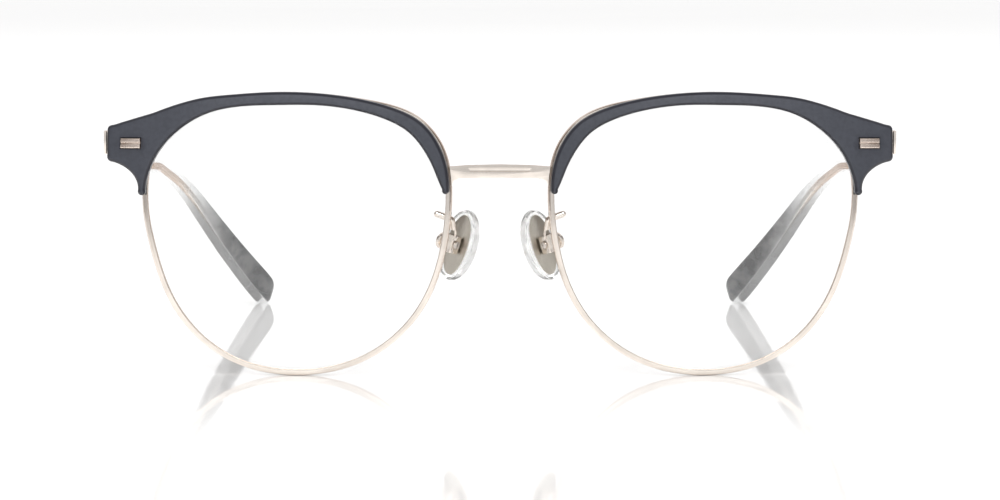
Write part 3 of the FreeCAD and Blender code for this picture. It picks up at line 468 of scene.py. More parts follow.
def brow_material(finishes):
    """Matte slate acetate: faint marbling, a fine tumbled grain, a painted paler sheen across the
    middle of each cover, and painted shade on the bevels, rear edge and plaque pocket.
    """
    material, tree, shader = new_material("Slate acetate", IOR=1.49, Specular_IOR_Level=0.42)
    position = object_position(tree)
    marble = ranged(tree, noise(tree, position, 55.0, 5.0, 0.6), 0.36, 0.66)
    speck = ranged(tree, noise(tree, position, 1500.0, 2.0, 0.5), 0.35, 0.7)
    tone = tuple(finishes.brow)
    light = (tone[0] * 1.22, tone[1] * 1.2, tone[2] * 1.2, 1.0)
    # Painted highlight: a paler band across the middle of each cover, about 10 to 60 mm either side of
    # the centre, stands in for the sheen of the light on the satin face.
    place = add_node(tree, "ShaderNodeSeparateXYZ")
    feed(tree, position, place.inputs[0])
    across = math_node(tree, "ABSOLUTE", place.outputs["X"])
    rising = ranged(tree, across, 0.010, 0.030)
    falling = ranged(tree, across, 0.042, 0.060, 1.0, 0.0)
    middle = math_node(tree, "MULTIPLY", rising, falling)
    pale = (tone[0] * 1.75, tone[1] * 1.7, tone[2] * 1.62, 1.0)
    wear_and_painted_sheen = blended(tree, math_node(tree, "MULTIPLY", middle, 0.6), tone, pale)
    body = blended(tree, math_node(tree, "MULTIPLY", marble, 0.5), wear_and_painted_sheen, light)
    grain = math_node(tree, "MULTIPLY", speck, 0.22)
    grainy = blended(tree, grain, body, tuple(finishes.speck_and_bevel_shade))
    # Painted shade: the acetate is darkened towards the bevel colour on the bevels, the rear edge and
    # the walls of the plaque pocket, by the amount stored on the mesh.
    painted_shade = add_node(tree, "ShaderNodeAttribute", attribute_name="bevel_band").outputs["Fac"]
    feed(tree, blended(tree, painted_shade, grainy, tuple(finishes.speck_and_bevel_shade)), shader["Base Color"])
    gloss = use_effect(
        tree, "Polish", Cloud_scale=120.0, Hair_scale=3200.0,
        Gloss_low=finishes.satin - 0.07, Gloss_high=finishes.satin + 0.07,
    )
    bevel_gloss = math_node(tree, "MULTIPLY", painted_shade, 0.1)
    feed(tree, math_node(tree, "SUBTRACT", gloss["Roughness"], bevel_gloss), shader["Roughness"])
    bumped(tree, gloss["Height"], 0.1, 0.00003, shader["Normal"])
    return material


def tip_material(finishes, start, end):
    """Laminated acetate: a clear middle between skins that darken to smoke at the end."""
    material, tree, shader = new_material(
        "Smoke acetate", IOR=1.47, Specular_IOR_Level=0.5, Coat_Weight=0.35, Coat_Roughness=0.04
    )
    coordinates = add_node(tree, "ShaderNodeTexCoord").outputs
    place = add_node(tree, "ShaderNodeSeparateXYZ")
    feed(tree, coordinates["Object"], place.inputs[0])
    facing = add_node(tree, "ShaderNodeSeparateXYZ")
    feed(tree, coordinates["Normal"], facing.inputs[0])
    wander = noise(tree, coordinates["Object"], 60.0, 4.0, 0.6)
    shift = math_node(tree, "MULTIPLY", math_node(tree, "SUBTRACT", wander, 0.5), 0.008)
    along = math_node(tree, "ADD", place.outputs["Y"], shift)
    smoke = ranged(tree, along, start, end)
    skin = ranged(tree, math_node(tree, "ABSOLUTE", facing.outputs["X"]), 0.5, 0.8)
    swirl = ranged(tree, noise(tree, stretched(tree, coordinates["Object"], (1.0, 0.25, 1.0)),
                               240.0, 4.0, 0.6), 0.35, 0.7, 0.0, 0.12)
    deep = math_node(tree, "MAXIMUM", math_node(tree, "SUBTRACT", smoke, swirl), 0.0)
    dark = blended(tree, deep, tuple(finishes.tip_clear), tuple(finishes.tip_dark))
    edge = math_node(tree, "MULTIPLY", deep, 0.3)
    middle = blended(tree, edge, tuple(finishes.tip_clear), tuple(finishes.tip_dark))
    feed(tree, blended(tree, skin, middle, dark), shader["Base Color"])
    skin_cover = ranged(tree, smoke, 0.0, 0.85, 0.2, 0.97)
    middle_cover = ranged(tree, smoke, 0.0, 1.0, 0.16, 0.3)
    difference = math_node(tree, "SUBTRACT", skin_cover, middle_cover)
    cover = math_node(tree, "ADD", middle_cover, math_node(tree, "MULTIPLY", difference, skin))
    feed(tree, cover, shader["Alpha"])
    handling = use_effect(tree, "Handling", Smudge_scale=110.0, Gloss_low=0.1, Gloss_high=0.2)
    feed(tree, handling["Roughness"], shader["Roughness"])
    bumped(tree, handling["Height"], 0.03, 0.00003, shader["Normal"])
    return material


def silicone_material(finishes):
    """Clear soft silicone with a faint haze and a slightly orange-peel skin."""
    material, tree, shader = new_material(
        "Clear silicone", IOR=1.41, Transmission_Weight=0.86, Specular_IOR_Level=0.55
    )
    handling = use_effect(tree, "Handling", Smudge_scale=420.0, Gloss_low=0.06, Gloss_high=0.16)
    tone = tuple(finishes.silicone)
    haze = (tone[0] * 0.93, tone[1] * 0.93, tone[2] * 0.92, 1.0)
    feed(tree, blended(tree, handling["Mask"], tone, haze), shader["Base Color"])
    feed(tree, handling["Roughness"], shader["Roughness"])
    bumped(tree, handling["Height"], 0.06, 0.00005, shader["Normal"])
    return material


def lens_material(finishes):
    """Clear hard-coated lens with barely visible smudges."""
    material, tree, shader = new_material(
        "Clear lens", IOR=1.5, Transmission_Weight=1.0, Specular_IOR_Level=0.35
    )
    handling = use_effect(tree, "Handling", Smudge_scale=45.0, Gloss_low=0.0, Gloss_high=0.012)
    tone = tuple(finishes.lens)
    film = (tone[0] * 0.995, tone[1] * 0.995, tone[2] * 0.99, 1.0)
    feed(tree, blended(tree, handling["Mask"], tone, film), shader["Base Color"])
    feed(tree, handling["Roughness"], shader["Roughness"])
    return material


def make_materials():
    """The shared effects and every material, by name."""
    finishes = bpy.context.scene.eyeglass_finishes
    make_polish_effect()
    make_brushed_effect()
    make_edge_effect()
    make_handling_effect()
    plate = tuple(finishes.plate)
    edge = tuple(finishes.plate_edge)
    polish = finishes.polish
    metal_material("Rim plate", plate, edge, polish - 0.05, polish + 0.05)
    metal_material("Bridge plate", plate, edge, polish - 0.06, polish + 0.04, cloud=260.0)
    metal_material("Fitting plate", plate, edge, polish, polish + 0.12, cloud=420.0, hairs=5200.0)
    metal_material("Arm plate", plate, edge, polish, polish + 0.14, cloud=90.0, hairs=3800.0,
                   bump=0.08)
    metal_material("Screw steel", tuple(finishes.screw), edge, 0.14, 0.3, cloud=900.0, hairs=8000.0,
                   bump=0.12, edge_width=0.00005)
    brushed_material("Plaque satin", tuple(finishes.plaque), edge, 0.2, 0.36)
    brushed_material("Insert satin", tuple(finishes.insert), edge, 0.3, 0.45)
    brow_material(finishes)
    low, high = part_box("temple_tip_left")
    span = high.y - low.y
    tip_material(finishes, low.y + span * 0.30, low.y + span * 0.86)
    silicone_material(finishes)
    lens_material(finishes)


def finished(obj, material):
    """Gives a piece its material."""
    obj.data.materials.clear()
    obj.data.materials.append(bpy.data.materials[material])


# ---------------------------------------------------------------- mesh helpers


def drop_old_shading(mesh):
    """Removes the normals and sharp marks that came with a CAD mesh."""
    for layer in ("custom_normal", "sharp_face", "sharp_edge"):
        if layer in mesh.attributes:
            mesh.attributes.remove(mesh.attributes[layer])


def smooth_by_angle(mesh, degrees):
    """Smooth shading with sharp edges kept where faces turn further than the angle."""
    for polygon in mesh.polygons:
        polygon.use_smooth = True
    mesh.set_sharp_from_angle(angle=math.radians(degrees))


def new_piece(name, mesh, node):
    """A piece that stands for a CAD node and moves with the node's body."""
    piece = bpy.data.objects.new(name, mesh)
    bpy.context.scene.collection.objects.link(piece)
    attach(piece, frame["nodes"][node]["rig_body"])
    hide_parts(node)
    return piece


def welded(node):
    """The faces of a CAD node, joined along their edges."""
    shape = bmesh.new()
    shape.from_mesh(frame["nodes"][node].data)
    bmesh.ops.remove_doubles(shape, verts=shape.verts, dist=2e-7)
    return shape


def softened(node, width, segments, material, angle=32.0, name=None):
    """A fitting with its flat faces made whole and its hard edges rounded."""
    shape = welded(node)
    bmesh.ops.dissolve_limit(
        shape, angle_limit=math.radians(0.6), verts=shape.verts, edges=shape.edges,
        use_dissolve_boundaries=False,
    )
    hard = [
        edge for edge in shape.edges
        if len(edge.link_faces) == 2 and edge.calc_face_angle(0.0) > math.radians(angle)
    ]
    bmesh.ops.bevel(
        shape, geom=hard, offset=width, offset_type="OFFSET", segments=segments,
        profile=0.5, affect="EDGES", clamp_overlap=True,
    )
    mesh = bpy.data.meshes.new(name or "piece_" + node)
    shape.to_mesh(mesh)
    shape.free()
    drop_old_shading(mesh)
    smooth_by_angle(mesh, 35.0)
    piece = new_piece(mesh.name, mesh, node)
    finished(piece, material)
    return piece


def ring_of(shape, points):
    """A closed row of new points."""
    return [shape.verts.new(point) for point in points]


def skin_between(shape, first, second):
    """Faces between two closed rows with the same number of points."""
    faces = []
    count = len(first)
    for index in range(count):
        after = (index + 1) % count
        faces.append(shape.faces.new((first[index], first[after], second[after], second[index])))
    return faces


def signed_area(points):
    total = 0.0
    for index, point in enumerate(points):
        after = points[(index + 1) % len(points)]
        total += point.x * after.y - after.x * point.y
    return total / 2


def inside(point, polygon):
    """Whether a flat point lies inside a closed flat outline."""
    hit = False
    for index, start in enumerate(polygon):
        end = polygon[index - 1]
        if (start.y > point.y) != (end.y > point.y):
            cross = (end.x - start.x) * (point.y - start.y) / (end.y - start.y) + start.x
            if point.x < cross:
                hit = not hit
    return hit


def distance_to(point, polygon):
    """Distance of a flat point from a closed flat outline."""
    best = 1.0
    for index, end in enumerate(polygon):
        start = polygon[index - 1]
        along = end - start
        length_squared = max(along.length_squared, 1e-18)
        part = min(1.0, max(0.0, (point - start).dot(along) / length_squared))
        best = min(best, (start + along * part - point).length)
    return best


def refined(points, step):
    """An outline with long sides divided, curved where its neighbours curve."""
    count = len(points)
    rows = []
    for index in range(count):
        before, start = points[index - 1], points[index]
        end, after = points[(index + 1) % count], points[(index + 2) % count]
        side = end - start
        rows.append(start)
        pieces = int(side.length / step) + 1
        turn_start = (start - before).angle(side, 0.0)
        turn_end = side.angle(after - end, 0.0)
        curved = turn_start < 0.4 and turn_end < 0.4
        lead = ((start - before).normalized() + side.normalized()).normalized() * side.length
        trail = (side.normalized() + (after - end).normalized()).normalized() * side.length
        for number in range(1, pieces):
            t = number / pieces
            if curved:
                square, cube = t * t, t * t * t
                rows.append(
                    start * (2 * cube - 3 * square + 1) + lead * (cube - 2 * square + t)
                    + end * (3 * square - 2 * cube) + trail * (cube - square)
                )
            else:
                rows.append(start + side * t)
    return rows


def inset_outline(points, distance):
    """A closed outline moved inwards, its corners limited."""
    count = len(points)
    rows = []
    for index in range(count):
        before = (points[index] - points[index - 1]).normalized()
        after = (points[(index + 1) % count] - points[index]).normalized()
        normal = Vector((-before.y - after.y, before.x + after.x)).normalized()
        spread = max(0.75, normal.dot(Vector((-before.y, before.x))))
        rows.append(points[index] + normal * distance / spread)
    return rows


def filled(shape, rows, edge_rings, lift, spacing, upward):
    """Fills between closed rows of points with a fine net laid on a curved surface.

    rows are flat outlines, the first outside and the rest holes; edge_rings hold their
    mesh points; lift gives the place in space of a flat point.
    """
    outer = rows[0]
    flat = [point for row in rows for point in row]
    known = [vertex for ring in edge_rings for vertex in ring]
    edges = []
    start = 0
    for row in rows:
        count = len(row)
        edges += [(start + i, start + (i + 1) % count) for i in range(count)]
        start += count
    low = Vector((min(p.x for p in outer), min(p.y for p in outer)))
    high = Vector((max(p.x for p in outer), max(p.y for p in outer)))
    across = int((high.x - low.x) / spacing)
    for row_number in range(int((high.y - low.y) / spacing)):
        for column in range(across):
            spot = low + Vector((
                (column + 0.5 + 0.5 * (row_number % 2)) * spacing, (row_number + 0.5) * spacing
            ))
            if not inside(spot, outer) or any(inside(spot, hole) for hole in rows[1:]):
                continue
            if all(distance_to(spot, row) > spacing * 0.45 for row in rows):
                flat.append(spot)
    places, _, faces, sources, _, _ = delaunay_2d_cdt(flat, edges, [], 1, 1e-9)
    vertices = []
    for place, source in zip(places, sources):
        if source and source[0] < len(known):
            vertices.append(known[source[0]])
        else:
            vertices.append(shape.verts.new(lift(place)))
    made = []
    for face in faces:
        centre = sum((places[i] for i in face), Vector((0.0, 0.0))) / len(face)
        if not inside(centre, outer) or any(inside(centre, hole) for hole in rows[1:]):
            continue
        corners = [vertices[i] for i in face]
        if len(set(corners)) < 3:
            continue
        made.append(shape.faces.new(corners if upward else corners[::-1]))
    return made


# ---------------------------------------------------------------- temple sleeves


def build_sleeve(name):
    """One acetate sleeve: its outer skin, closed at the front, without the walls of its bore.

    The wall of the bore is the part of the sleeve that faces its own centre line.
    """
    bore_facing = -0.2
    node = "temple_tip_" + name
    shape = welded(node)
    low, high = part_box(node)
    slices = bpy.context.scene.eyeglass_shapes.sleeve_slices
    step = (high.y - low.y) / slices
    spans = {}
    for vertex in shape.verts:
        row = min(slices - 1, int((vertex.co.y - low.y) / step))
        spans.setdefault(row, []).append(vertex.co)
    centres = {}
    for row, spots in spans.items():
        across = [spot.x for spot in spots]
        up = [spot.z for spot in spots]
        centres[row] = Vector(((min(across) + max(across)) / 2, 0.0, (min(up) + max(up)) / 2))
    bore = []
    for face in shape.faces:
        spot = face.calc_center_median()
        row = min(slices - 1, int((spot.y - low.y) / step))
        outward = spot - centres[min(centres, key=lambda other: abs(other - row))]
        outward.y = 0.0
        if face.normal.dot(outward.normalized()) < bore_facing:
            bore.append(face)
    bmesh.ops.delete(shape, geom=bore, context="FACES")
    keep_largest(shape)
    bmesh.ops.holes_fill(shape, edges=[edge for edge in shape.edges if edge.is_boundary], sides=0)
    mesh = bpy.data.meshes.new("sleeve_" + name)
    shape.to_mesh(mesh)
    shape.free()
    drop_old_shading(mesh)
    smooth_by_angle(mesh, 40.0)
    finished(new_piece(mesh.name, mesh, node), "Smoke acetate")


def keep_largest(shape):
    """Deletes every loose part of a mesh but its largest."""
    left = set(shape.verts)
    parts = []
    while left:
        seed = left.pop()
        part, queue = [seed], [seed]
        while queue:
            for edge in queue.pop().link_edges:
                for other in edge.verts:
                    if other in left:
                        left.remove(other)
                        part.append(other)
                        queue.append(other)
        parts.append(part)
    parts.sort(key=len)
    loose = [vertex for part in parts[:-1] for vertex in part]
    bmesh.ops.delete(shape, geom=loose, context="VERTS")


# ---------------------------------------------------------------- brow covers


class LensSpace:
    """Places measured across and up from a lens centre, in metres."""

    def __init__(self, side, shapes):
        low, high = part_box("lens_left")
        self.side = side
        self.radius = shapes.lens_radius
        turn = Matrix.Rotation(shapes.face_form, 4, "Z")
        rim_low, rim_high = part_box("rim_left")
        middle_x = (low.x + high.x) / 2
        middle_z = (rim_low.z + rim_high.z) / 2
        self.matrix = Matrix.Translation(Vector((middle_x, 0.0, middle_z))) @ turn
        self.inverse = self.matrix.inverted()

    def to_lens(self, point):
        return self.inverse @ Vector((point.x * self.side, point.y, point.z))

    def to_world(self, point):
        place = self.matrix @ point
        return Vector((place.x * self.side, place.y, place.z))


def fitted_ball(points):
    """Centre and radius of the ball that best passes through some points."""
    rows = np.array([[2 * p.x, 2 * p.y, 2 * p.z, 1.0] for p in points])
    sums = np.array([p.length_squared for p in points])
    answer = np.linalg.lstsq(rows, sums, rcond=None)[0]
    centre = Vector(answer[:3])
    return centre, math.sqrt(answer[3] + centre.length_squared)


def front_outlines(shape, space):
    """The closed outlines of a cover's front face, longest first, and the ball it lies on."""
    patches = []
    left = set(shape.faces)
    while left:
        seed = left.pop()
        patch, queue = [seed], [seed]
        while queue:
            for edge in queue.pop().edges:
                if edge.calc_face_angle(0.0) > math.radians(25.0):
                    continue
                for other in edge.link_faces:
                    if other in left:
                        left.remove(other)
                        patch.append(other)
                        queue.append(other)
        patches.append(patch)
    forward = [
        patch for patch in patches
        if sum(face.normal.y * face.calc_area() for face in patch)
        < -0.8 * sum(face.calc_area() for face in patch)
    ]
    front = set(max(forward, key=lambda patch: sum(face.calc_area() for face in patch)))
    spots = {vertex for face in front for vertex in face.verts}
    centre, radius = fitted_ball([space.to_lens(vertex.co) for vertex in spots])
    steps = {}
    for face in front:
        for loop in face.loops:
            if any(other not in front for other in loop.edge.link_faces):
                steps[loop.vert] = loop.link_loop_next.vert
    outlines = []
    while steps:
        start, current = steps.popitem()
        row = [start]
        while current != start:
            row.append(current)
            current = steps.pop(current)
        outlines.append([space.to_lens(vertex.co) for vertex in row])
    outlines.sort(key=len, reverse=True)
    return outlines, centre, radius


def build_brow(name, side):
    """One acetate brow cover: bevelled all round, crowned in front, pocketed for its plaque."""
    shapes = bpy.context.scene.eyeglass_shapes
    node = "brow_" + name
    space = LensSpace(side, shapes)
    source = welded(node)
    outlines, centre, radius = front_outlines(source, space)
    source.free()
    flat_rows = []
    for outline in outlines[:2]:
        row = [Vector((point.x, point.z)) for point in outline]
        if signed_area(row) < 0:
            row.reverse()
        flat_rows.append(row)
    flat_rows.sort(key=lambda row: -abs(signed_area(row)))
    outer = refined(flat_rows[0], 0.0006)
    pocket = refined(flat_rows[1], 0.0004)

    def on_ball(flat, back):
        across, up = flat.x - centre.x, flat.y - centre.z
        shell = radius - back
        depth = centre.y - math.sqrt(shell ** 2 - across ** 2 - up ** 2)
        return space.to_world(Vector((flat.x, depth, flat.y)))

    def behind(flat, back):
        across, up = flat.x - centre.x, flat.y - centre.z
        depth = centre.y - math.sqrt(radius ** 2 - across ** 2 - up ** 2) + back
        return space.to_world(Vector((flat.x, depth, flat.y)))

    shape = bmesh.new()
    painted_shade = shape.verts.layers.float.new("bevel_band")
    thick = shapes.brow_thickness - 0.00004
    bevel = shapes.brow_bevel
    back = shapes.brow_back_round
    # The third value of each row is how much painted shade the brow's colour takes there: most on the
    # sides and bevel, less towards the rear face, none on the front face.
    profile = (
        (back, thick, 0.4), (back * 0.3, thick - back * 0.3, 0.8), (0.0, thick - back, 1.0),
        (0.0, bevel * 1.12, 1.0), (bevel * 0.05, bevel * 0.93, 0.9), (bevel * 0.14, bevel * 0.8, 1.0),
        (bevel * 0.8, bevel * 0.14, 1.0), (bevel * 0.93, bevel * 0.05, 0.45), (bevel * 1.12, 0.0, 0.0),
    )
    rings = []
    rows = []
    for inset, depth, tone in profile:
        row = inset_outline(outer, inset)
        ring = ring_of(shape, [behind(point, depth) for point in row])
        for vertex in ring:
            vertex[painted_shade] = tone
        rings.append(ring)
        rows.append(row)
    for first, second in zip(rings, rings[1:]):
        skin_between(shape, first, second)
    lip = 0.00005
    pocket_out = inset_outline(pocket, -lip)
    pocket_rings = []
    # The pocket's lip and walls take painted shade too, rising from the lip to the foot of the walls.
    for row, depth, tone in (
        (pocket_out, 0.0, 0.3), (pocket, lip, 0.8), (pocket, shapes.recess_depth, 1.0)
    ):
        ring = ring_of(shape, [on_ball(point, depth) for point in row])
        for vertex in ring:
            vertex[painted_shade] = tone
        pocket_rings.append(ring)
    for first, second in zip(pocket_rings, pocket_rings[1:]):
        skin_between(shape, first, second)
    filled(shape, [rows[-1], pocket_out], [rings[-1], pocket_rings[0]],
           lambda flat: on_ball(flat, 0.0), 0.0011, True)
    filled(shape, [rows[0]], [rings[0]], lambda flat: behind(flat, thick), 0.0014, False)
    filled(shape, [pocket], [pocket_rings[-1]],
           lambda flat: on_ball(flat, shapes.recess_depth), 0.0009, True)
    bmesh.ops.recalc_face_normals(shape, faces=shape.faces)
    mesh = bpy.data.meshes.new("brow_cover_" + name)
    shape.to_mesh(mesh)
    shape.free()
    smooth_by_angle(mesh, 40.0)
    piece = new_piece(mesh.name, mesh, node)
    finished(piece, "Slate acetate")
    return piece


# ---------------------------------------------------------------- nose pads


PAD_PROFILE = (
    (0.06, 0.900), (0.02, 0.925), (0.0, 0.950), (0.03, 0.975), (0.10, 0.992), (0.20, 1.0),
    (0.34, 1.0), (0.48, 0.985), (0.60, 0.955), (0.71, 0.905), (0.81, 0.83), (0.89, 0.73),
    (0.95, 0.60), (0.985, 0.42), (0.998, 0.22),
)


def build_pad(name, side):
    """One silicone nose pad: a crowned oval with a soft lip round the plate let into it."""
    shapes = bpy.context.scene.eyeglass_shapes
    joint = [j for j in frame["joints"] if j["name"] == "pad_rock_" + name][0]
    across = Vector(joint["axis"]).normalized()
    if across.x * side < 0:
        across = -across
    up = Vector((-math.sin(shapes.pad_lean) * side, 0.0, math.cos(shapes.pad_lean)))
    up = (up - across * up.dot(across)).normalized()
    out = up.cross(across).normalized() * side
    pivot = Vector([value * 0.001 if abs(value) > 1 else value for value in joint_place(joint)])
    centre = pivot + out * shapes.pad_pivot
    count = 72

    def at(angle, half_width, half_length, depth):
        return (
            centre + across * (half_width * math.cos(angle)) + up * (half_length * math.sin(angle))
            + out * depth
        )

    shape = bmesh.new()
    rings = []
    seat = (
        (shapes.insert_width / 2 + 0.00002, shapes.insert_length / 2 + 0.00002),
        (shapes.insert_width / 2 + 0.00010, shapes.insert_length / 2 + 0.00010),
    )
    angles = [2 * math.pi * number / count for number in range(count)]
    rows = [(0.0, 0.0, shapes.insert_thickness)]
    for part in (0.35, 0.7, 1.0):
        rows.append((seat[0][0] * part, seat[0][1] * part, shapes.insert_thickness))
    rows.append((seat[0][0], seat[0][1], 0.0001))
    rows.append((seat[1][0], seat[1][1], 0.0))
    for depth, scale in PAD_PROFILE:
        rows.append((
            shapes.pad_width / 2 * scale, shapes.pad_length / 2 * scale, depth * shapes.pad_thickness
        ))
    first = shape.verts.new(at(0.0, *rows[0]))
    for row in rows[1:]:
        rings.append(ring_of(shape, [at(angle, *row) for angle in angles]))
    last = shape.verts.new(at(0.0, 0.0, 0.0, shapes.pad_thickness))
    for inner, outer in zip(rings, rings[1:]):
        skin_between(shape, inner, outer)
    for index in range(count):
        after = (index + 1) % count
        shape.faces.new((first, rings[0][index], rings[0][after]))
        shape.faces.new((last, rings[-1][after], rings[-1][index]))
    bmesh.ops.recalc_face_normals(shape, faces=shape.faces)
    mesh = bpy.data.meshes.new("pad_" + name)
    shape.to_mesh(mesh)
    shape.free()
    smooth_by_angle(mesh, 50.0)
    piece = new_piece(mesh.name, mesh, "nose_pad_" + name)
    finished(piece, "Clear silicone")
    return piece


def joint_place(joint):
    """The place of a joint in metres."""
    for key in ("pos_m", "pos"):
        if key in joint:
            return joint[key]
    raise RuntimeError("the joint has no place")


# ---------------------------------------------------------------- operators


class PieceOperator:
    """What every operator here shares."""

    bl_options = {"REGISTER", "UNDO"}


class EYEGLASS_OT_materials(PieceOperator, bpy.types.Operator):
    """Make the shared effects and all the materials"""

    bl_idname = "eyeglass.materials"
    bl_label = "Make Materials"

    def execute(self, context):
        make_materials()
        return {"FINISHED"}


class EYEGLASS_OT_rims(PieceOperator, bpy.types.Operator):
    """Finish the eyewires, and round the closing blocks and their screws"""

    bl_idname = "eyeglass.rims"
    bl_label = "Finish Rims"

    def execute(self, context):
        shapes = context.scene.eyeglass_shapes
        for name, _ in SIDES:
            finished(frame["nodes"]["rim_" + name], "Rim plate")
            for part in ("upper", "lower"):
                softened("closing_block_%s_%s" % (part, name), shapes.fitting_round, 2,
                         "Fitting plate")
            softened("lock_screw_" + name, shapes.screw_round, 2, "Screw steel")
        return {"FINISHED"}


class EYEGLASS_OT_lenses(PieceOperator, bpy.types.Operator):
    """Finish the two clear lenses"""

    bl_idname = "eyeglass.lenses"
    bl_label = "Finish Lenses"

    def execute(self, context):
        for name, _ in SIDES:
            finished(frame["nodes"]["lens_" + name], "Clear lens")
        return {"FINISHED"}


class EYEGLASS_OT_brows(PieceOperator, bpy.types.Operator):
    """Build the bevelled acetate brow covers with their plaques and screws"""

    bl_idname = "eyeglass.brows"
    bl_label = "Build Brow Covers"

    def execute(self, context):
        shapes = context.scene.eyeglass_shapes
        for name, side in SIDES:
            build_brow(name, side)
            softened("brow_plaque_" + name, shapes.plaque_round, 2, "Plaque satin")
            softened("brow_screws_" + name, shapes.screw_round, 2, "Screw steel")
        return {"FINISHED"}


class EYEGLASS_OT_bridge(PieceOperator, bpy.types.Operator):
    """Round the bridge bar and its channel"""

    bl_idname = "eyeglass.bridge"
    bl_label = "Round Bridge"

    def execute(self, context):
        shapes = context.scene.eyeglass_shapes
        softened("bridge", shapes.bridge_round, 4, "Bridge plate")
        return {"FINISHED"}


class EYEGLASS_OT_hinges(PieceOperator, bpy.types.Operator):
    """Round the end pieces, the hinge leaves and their screws"""

    bl_idname = "eyeglass.hinges"
    bl_label = "Round Hinges"

    def execute(self, context):
        shapes = context.scene.eyeglass_shapes
        for name, _ in SIDES:
            softened("endpiece_" + name, shapes.fitting_round, 2, "Fitting plate")
            softened("hinge_front_" + name, shapes.fitting_round, 2, "Fitting plate")
            softened("hinge_temple_" + name, shapes.fitting_round, 2, "Fitting plate")
            softened("hinge_screw_" + name, shapes.screw_round, 2, "Screw steel")
        return {"FINISHED"}


class EYEGLASS_OT_temples(PieceOperator, bpy.types.Operator):
    """Finish the metal arms and their acetate sleeves"""

    bl_idname = "eyeglass.temples"
    bl_label = "Finish Temples"

    def execute(self, context):
        for name, _ in SIDES:
            finished(frame["nodes"]["temple_arm_" + name], "Arm plate")
            build_sleeve(name)
        return {"FINISHED"}


class EYEGLASS_OT_pads(PieceOperator, bpy.types.Operator):
    """Build the silicone nose pads, and finish their plates, boxes, screws and arms"""

    bl_idname = "eyeglass.pads"
    bl_label = "Build Nose Pads"

    def execute(self, context):
        shapes = context.scene.eyeglass_shapes
        for name, side in SIDES:
            build_pad(name, side)
            softened("pad_insert_" + name, shapes.screw_round, 2, "Insert satin")
            softened("pad_box_" + name, shapes.screw_round, 2, "Fitting plate")
            softened("pad_screw_" + name, shapes.screw_round, 2, "Screw steel")
            softened("pad_arm_" + name, shapes.fitting_round, 2, "Bridge plate")
        return {"FINISHED"}


class EYEGLASS_OT_stage(PieceOperator, bpy.types.Operator):
    """Set the pale floor, the soft studio light and the camera"""

    bl_idname = "eyeglass.stage"
    bl_label = "Set Stage"

    def execute(self, context):
        scene = context.scene
        studio = scene.eyeglass_studio
        build_floor(studio)
        build_light(studio)
        build_camera(scene, studio)
        scene.view_settings.view_transform = "Standard"
        return {"FINISHED"}


def build_floor(studio):
    """A wide pale floor with a faint gloss."""
    shape = bmesh.new()
    bmesh.ops.create_grid(
        shape, x_segments=studio.floor_segments, y_segments=studio.floor_segments,
        size=studio.floor_reach,
    )
    mesh = bpy.data.meshes.new("floor")
    shape.to_mesh(mesh)
    shape.free()
    floor = bpy.data.objects.new("floor", mesh)
    floor.location.z = min(0.0, CAD_BOX[0].z) - 0.00002
    bpy.context.scene.collection.objects.link(floor)
    material, tree, shader = new_material("Floor", IOR=1.45, Specular_IOR_Level=0.5)
    tone = tuple(bpy.context.scene.eyeglass_finishes.floor_tone)
    soft = ranged(tree, noise(tree, object_position(tree), 3.0, 3.0, 0.5), 0.3, 0.7)
    pale = (tone[0] * 0.985, tone[1] * 0.985, tone[2] * 0.985, 1.0)
    feed(tree, blended(tree, soft, tone, pale), shader["Base Color"])
    feed(tree, ranged(tree, soft, 0.0, 1.0, 0.035, 0.045), shader["Roughness"])
    mesh.materials.append(material)


def build_light(studio):
    """A white studio: bright all round, with soft darker bands that give metal its lines."""
    world = bpy.data.worlds.new("Studio")
    bpy.context.scene.world = world
    world.use_nodes = True
    tree = world.node_tree
    tree.nodes.clear()
    direction = add_node(tree, "ShaderNodeTexCoord").outputs["Generated"]
    parts = add_node(tree, "ShaderNodeSeparateXYZ")
    feed(tree, direction, parts.inputs[0])
    sideways = math_node(tree, "ABSOLUTE", parts.outputs["X"])
    banner = math_node(tree, "MULTIPLY", ranged(tree, sideways, 0.5, 0.72),
                       ranged(tree, sideways, 0.9, 0.99, 1.0, 0.0))
    overhead = ranged(tree, parts.outputs["Z"], 0.72, 0.92)
    behind = ranged(tree, parts.outputs["Y"], -0.2, 0.3)
    front_tone = blended(tree, ranged(tree, parts.outputs["Z"], -0.05, 0.6),
                         (0.72, 0.72, 0.73, 1.0), (1.0, 1.0, 1.0, 1.0))
    tone = blended(tree, behind, front_tone, (1.0, 1.0, 1.0, 1.0))
    banded = blended(tree, banner, tone, (0.20, 0.17, 0.155, 1.0))
    capped = blended(tree, overhead, banded, (0.24, 0.21, 0.195, 1.0))
    background = add_node(tree, "ShaderNodeBackground")
    feed(tree, capped, background.inputs["Color"])
    background.inputs["Strength"].default_value = studio.sky
    plain = add_node(tree, "ShaderNodeBackground")
    plain.inputs["Color"].default_value = (1.0, 1.0, 1.0, 1.0)
    path = add_node(tree, "ShaderNodeLightPath").outputs
    seen = math_node(tree, "MAXIMUM", path["Is Camera Ray"], path["Is Transmission Ray"])
    mix = add_node(tree, "ShaderNodeMixShader")
    feed(tree, seen, mix.inputs[0])
    feed(tree, background.outputs[0], mix.inputs[1])
    feed(tree, plain.outputs[0], mix.inputs[2])
    output = add_node(tree, "ShaderNodeOutputWorld")
    feed(tree, mix.outputs[0], output.inputs["Surface"])
    for name, place, size, energy in (
        ("softbox_front", (0.0, -0.9, 1.0), 1.2, 16.0),
        ("softbox_back", (0.0, 1.4, 1.5), 1.6, 30.0),
    ):
        light = bpy.data.lights.new(name, "AREA")
        light.energy = energy
        light.size = size
        lamp = bpy.data.objects.new(name, light)
        lamp.location = place
        aim = Vector((0.0, 0.0, 0.02)) - Vector(place)
        lamp.rotation_euler = aim.to_track_quat("-Z", "Y").to_euler()
        lamp.visible_glossy = False
        bpy.context.scene.collection.objects.link(lamp)


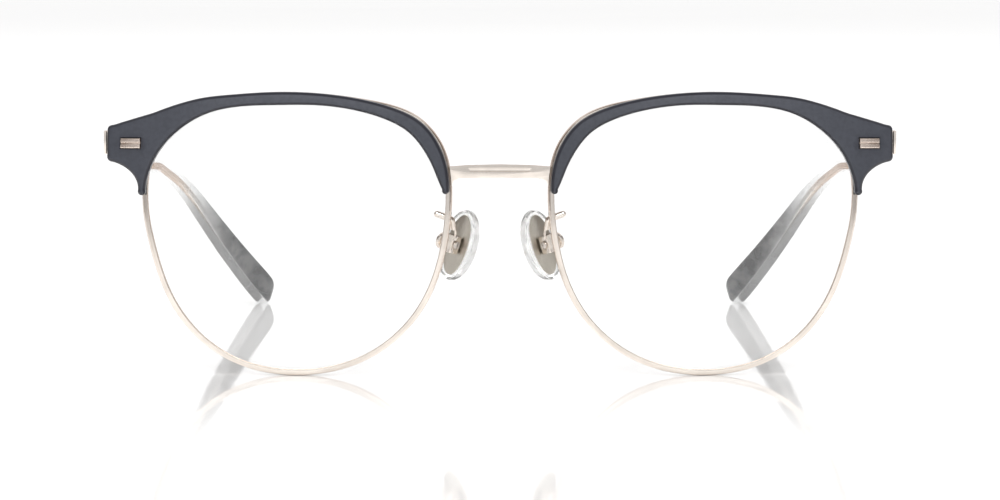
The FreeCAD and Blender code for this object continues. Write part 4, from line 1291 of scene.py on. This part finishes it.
def build_camera(scene, studio):
    """The camera, level with the front and looking slightly down."""
    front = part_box("rim_left")[0].y
    camera = bpy.data.cameras.new("camera")
    camera.sensor_width = 36.0
    camera.lens = studio.focal_length
    camera.clip_start = 0.01
    camera.clip_end = 20.0
    holder = bpy.data.objects.new("camera", camera)
    holder.location = (0.0, front - studio.camera_distance, studio.camera_height)
    holder.rotation_euler = (math.pi / 2 - studio.camera_pitch, 0.0, 0.0)
    scene.collection.objects.link(holder)
    scene.camera = holder


# ---------------------------------------------------------------- panel and start


class EYEGLASS_PT_panel(bpy.types.Panel):
    """Settings and steps of the eyeglasses"""

    bl_label = "Eyeglasses"
    bl_idname = "EYEGLASS_PT_panel"
    bl_space_type = "VIEW_3D"
    bl_region_type = "UI"
    bl_category = "Eyeglasses"

    def draw(self, context):
        layout = self.layout
        for settings in ("eyeglass_shapes", "eyeglass_finishes", "eyeglass_studio"):
            group = getattr(context.scene, settings)
            box = layout.box()
            for key in group.bl_rna.properties.keys():
                if key not in ("rna_type", "name"):
                    box.prop(group, key)
        for operator in OPERATORS:
            layout.operator(operator.bl_idname)


GROUPS = (
    ("eyeglass_shapes", EyeglassShapes),
    ("eyeglass_finishes", EyeglassFinishes),
    ("eyeglass_studio", EyeglassStudio),
)
OPERATORS = (
    EYEGLASS_OT_materials, EYEGLASS_OT_rims, EYEGLASS_OT_lenses, EYEGLASS_OT_brows,
    EYEGLASS_OT_bridge, EYEGLASS_OT_hinges, EYEGLASS_OT_temples, EYEGLASS_OT_pads,
    EYEGLASS_OT_stage,
)


def register():
    for name, group in GROUPS:
        bpy.utils.register_class(group)
        setattr(bpy.types.Scene, name, PointerProperty(type=group))
    for operator in OPERATORS:
        bpy.utils.register_class(operator)
    bpy.utils.register_class(EYEGLASS_PT_panel)


def unregister():
    bpy.utils.unregister_class(EYEGLASS_PT_panel)
    for operator in reversed(OPERATORS):
        bpy.utils.unregister_class(operator)
    for name, group in reversed(GROUPS):
        delattr(bpy.types.Scene, name)
        bpy.utils.unregister_class(group)


def main():
    """Builds everything in order."""
    register()
    for step in ("materials", "rims", "lenses", "brows", "bridge", "hinges", "temples", "pads",
                 "stage"):
        getattr(bpy.ops.eyeglass, step)()


if __name__ == "__main__":
    main()
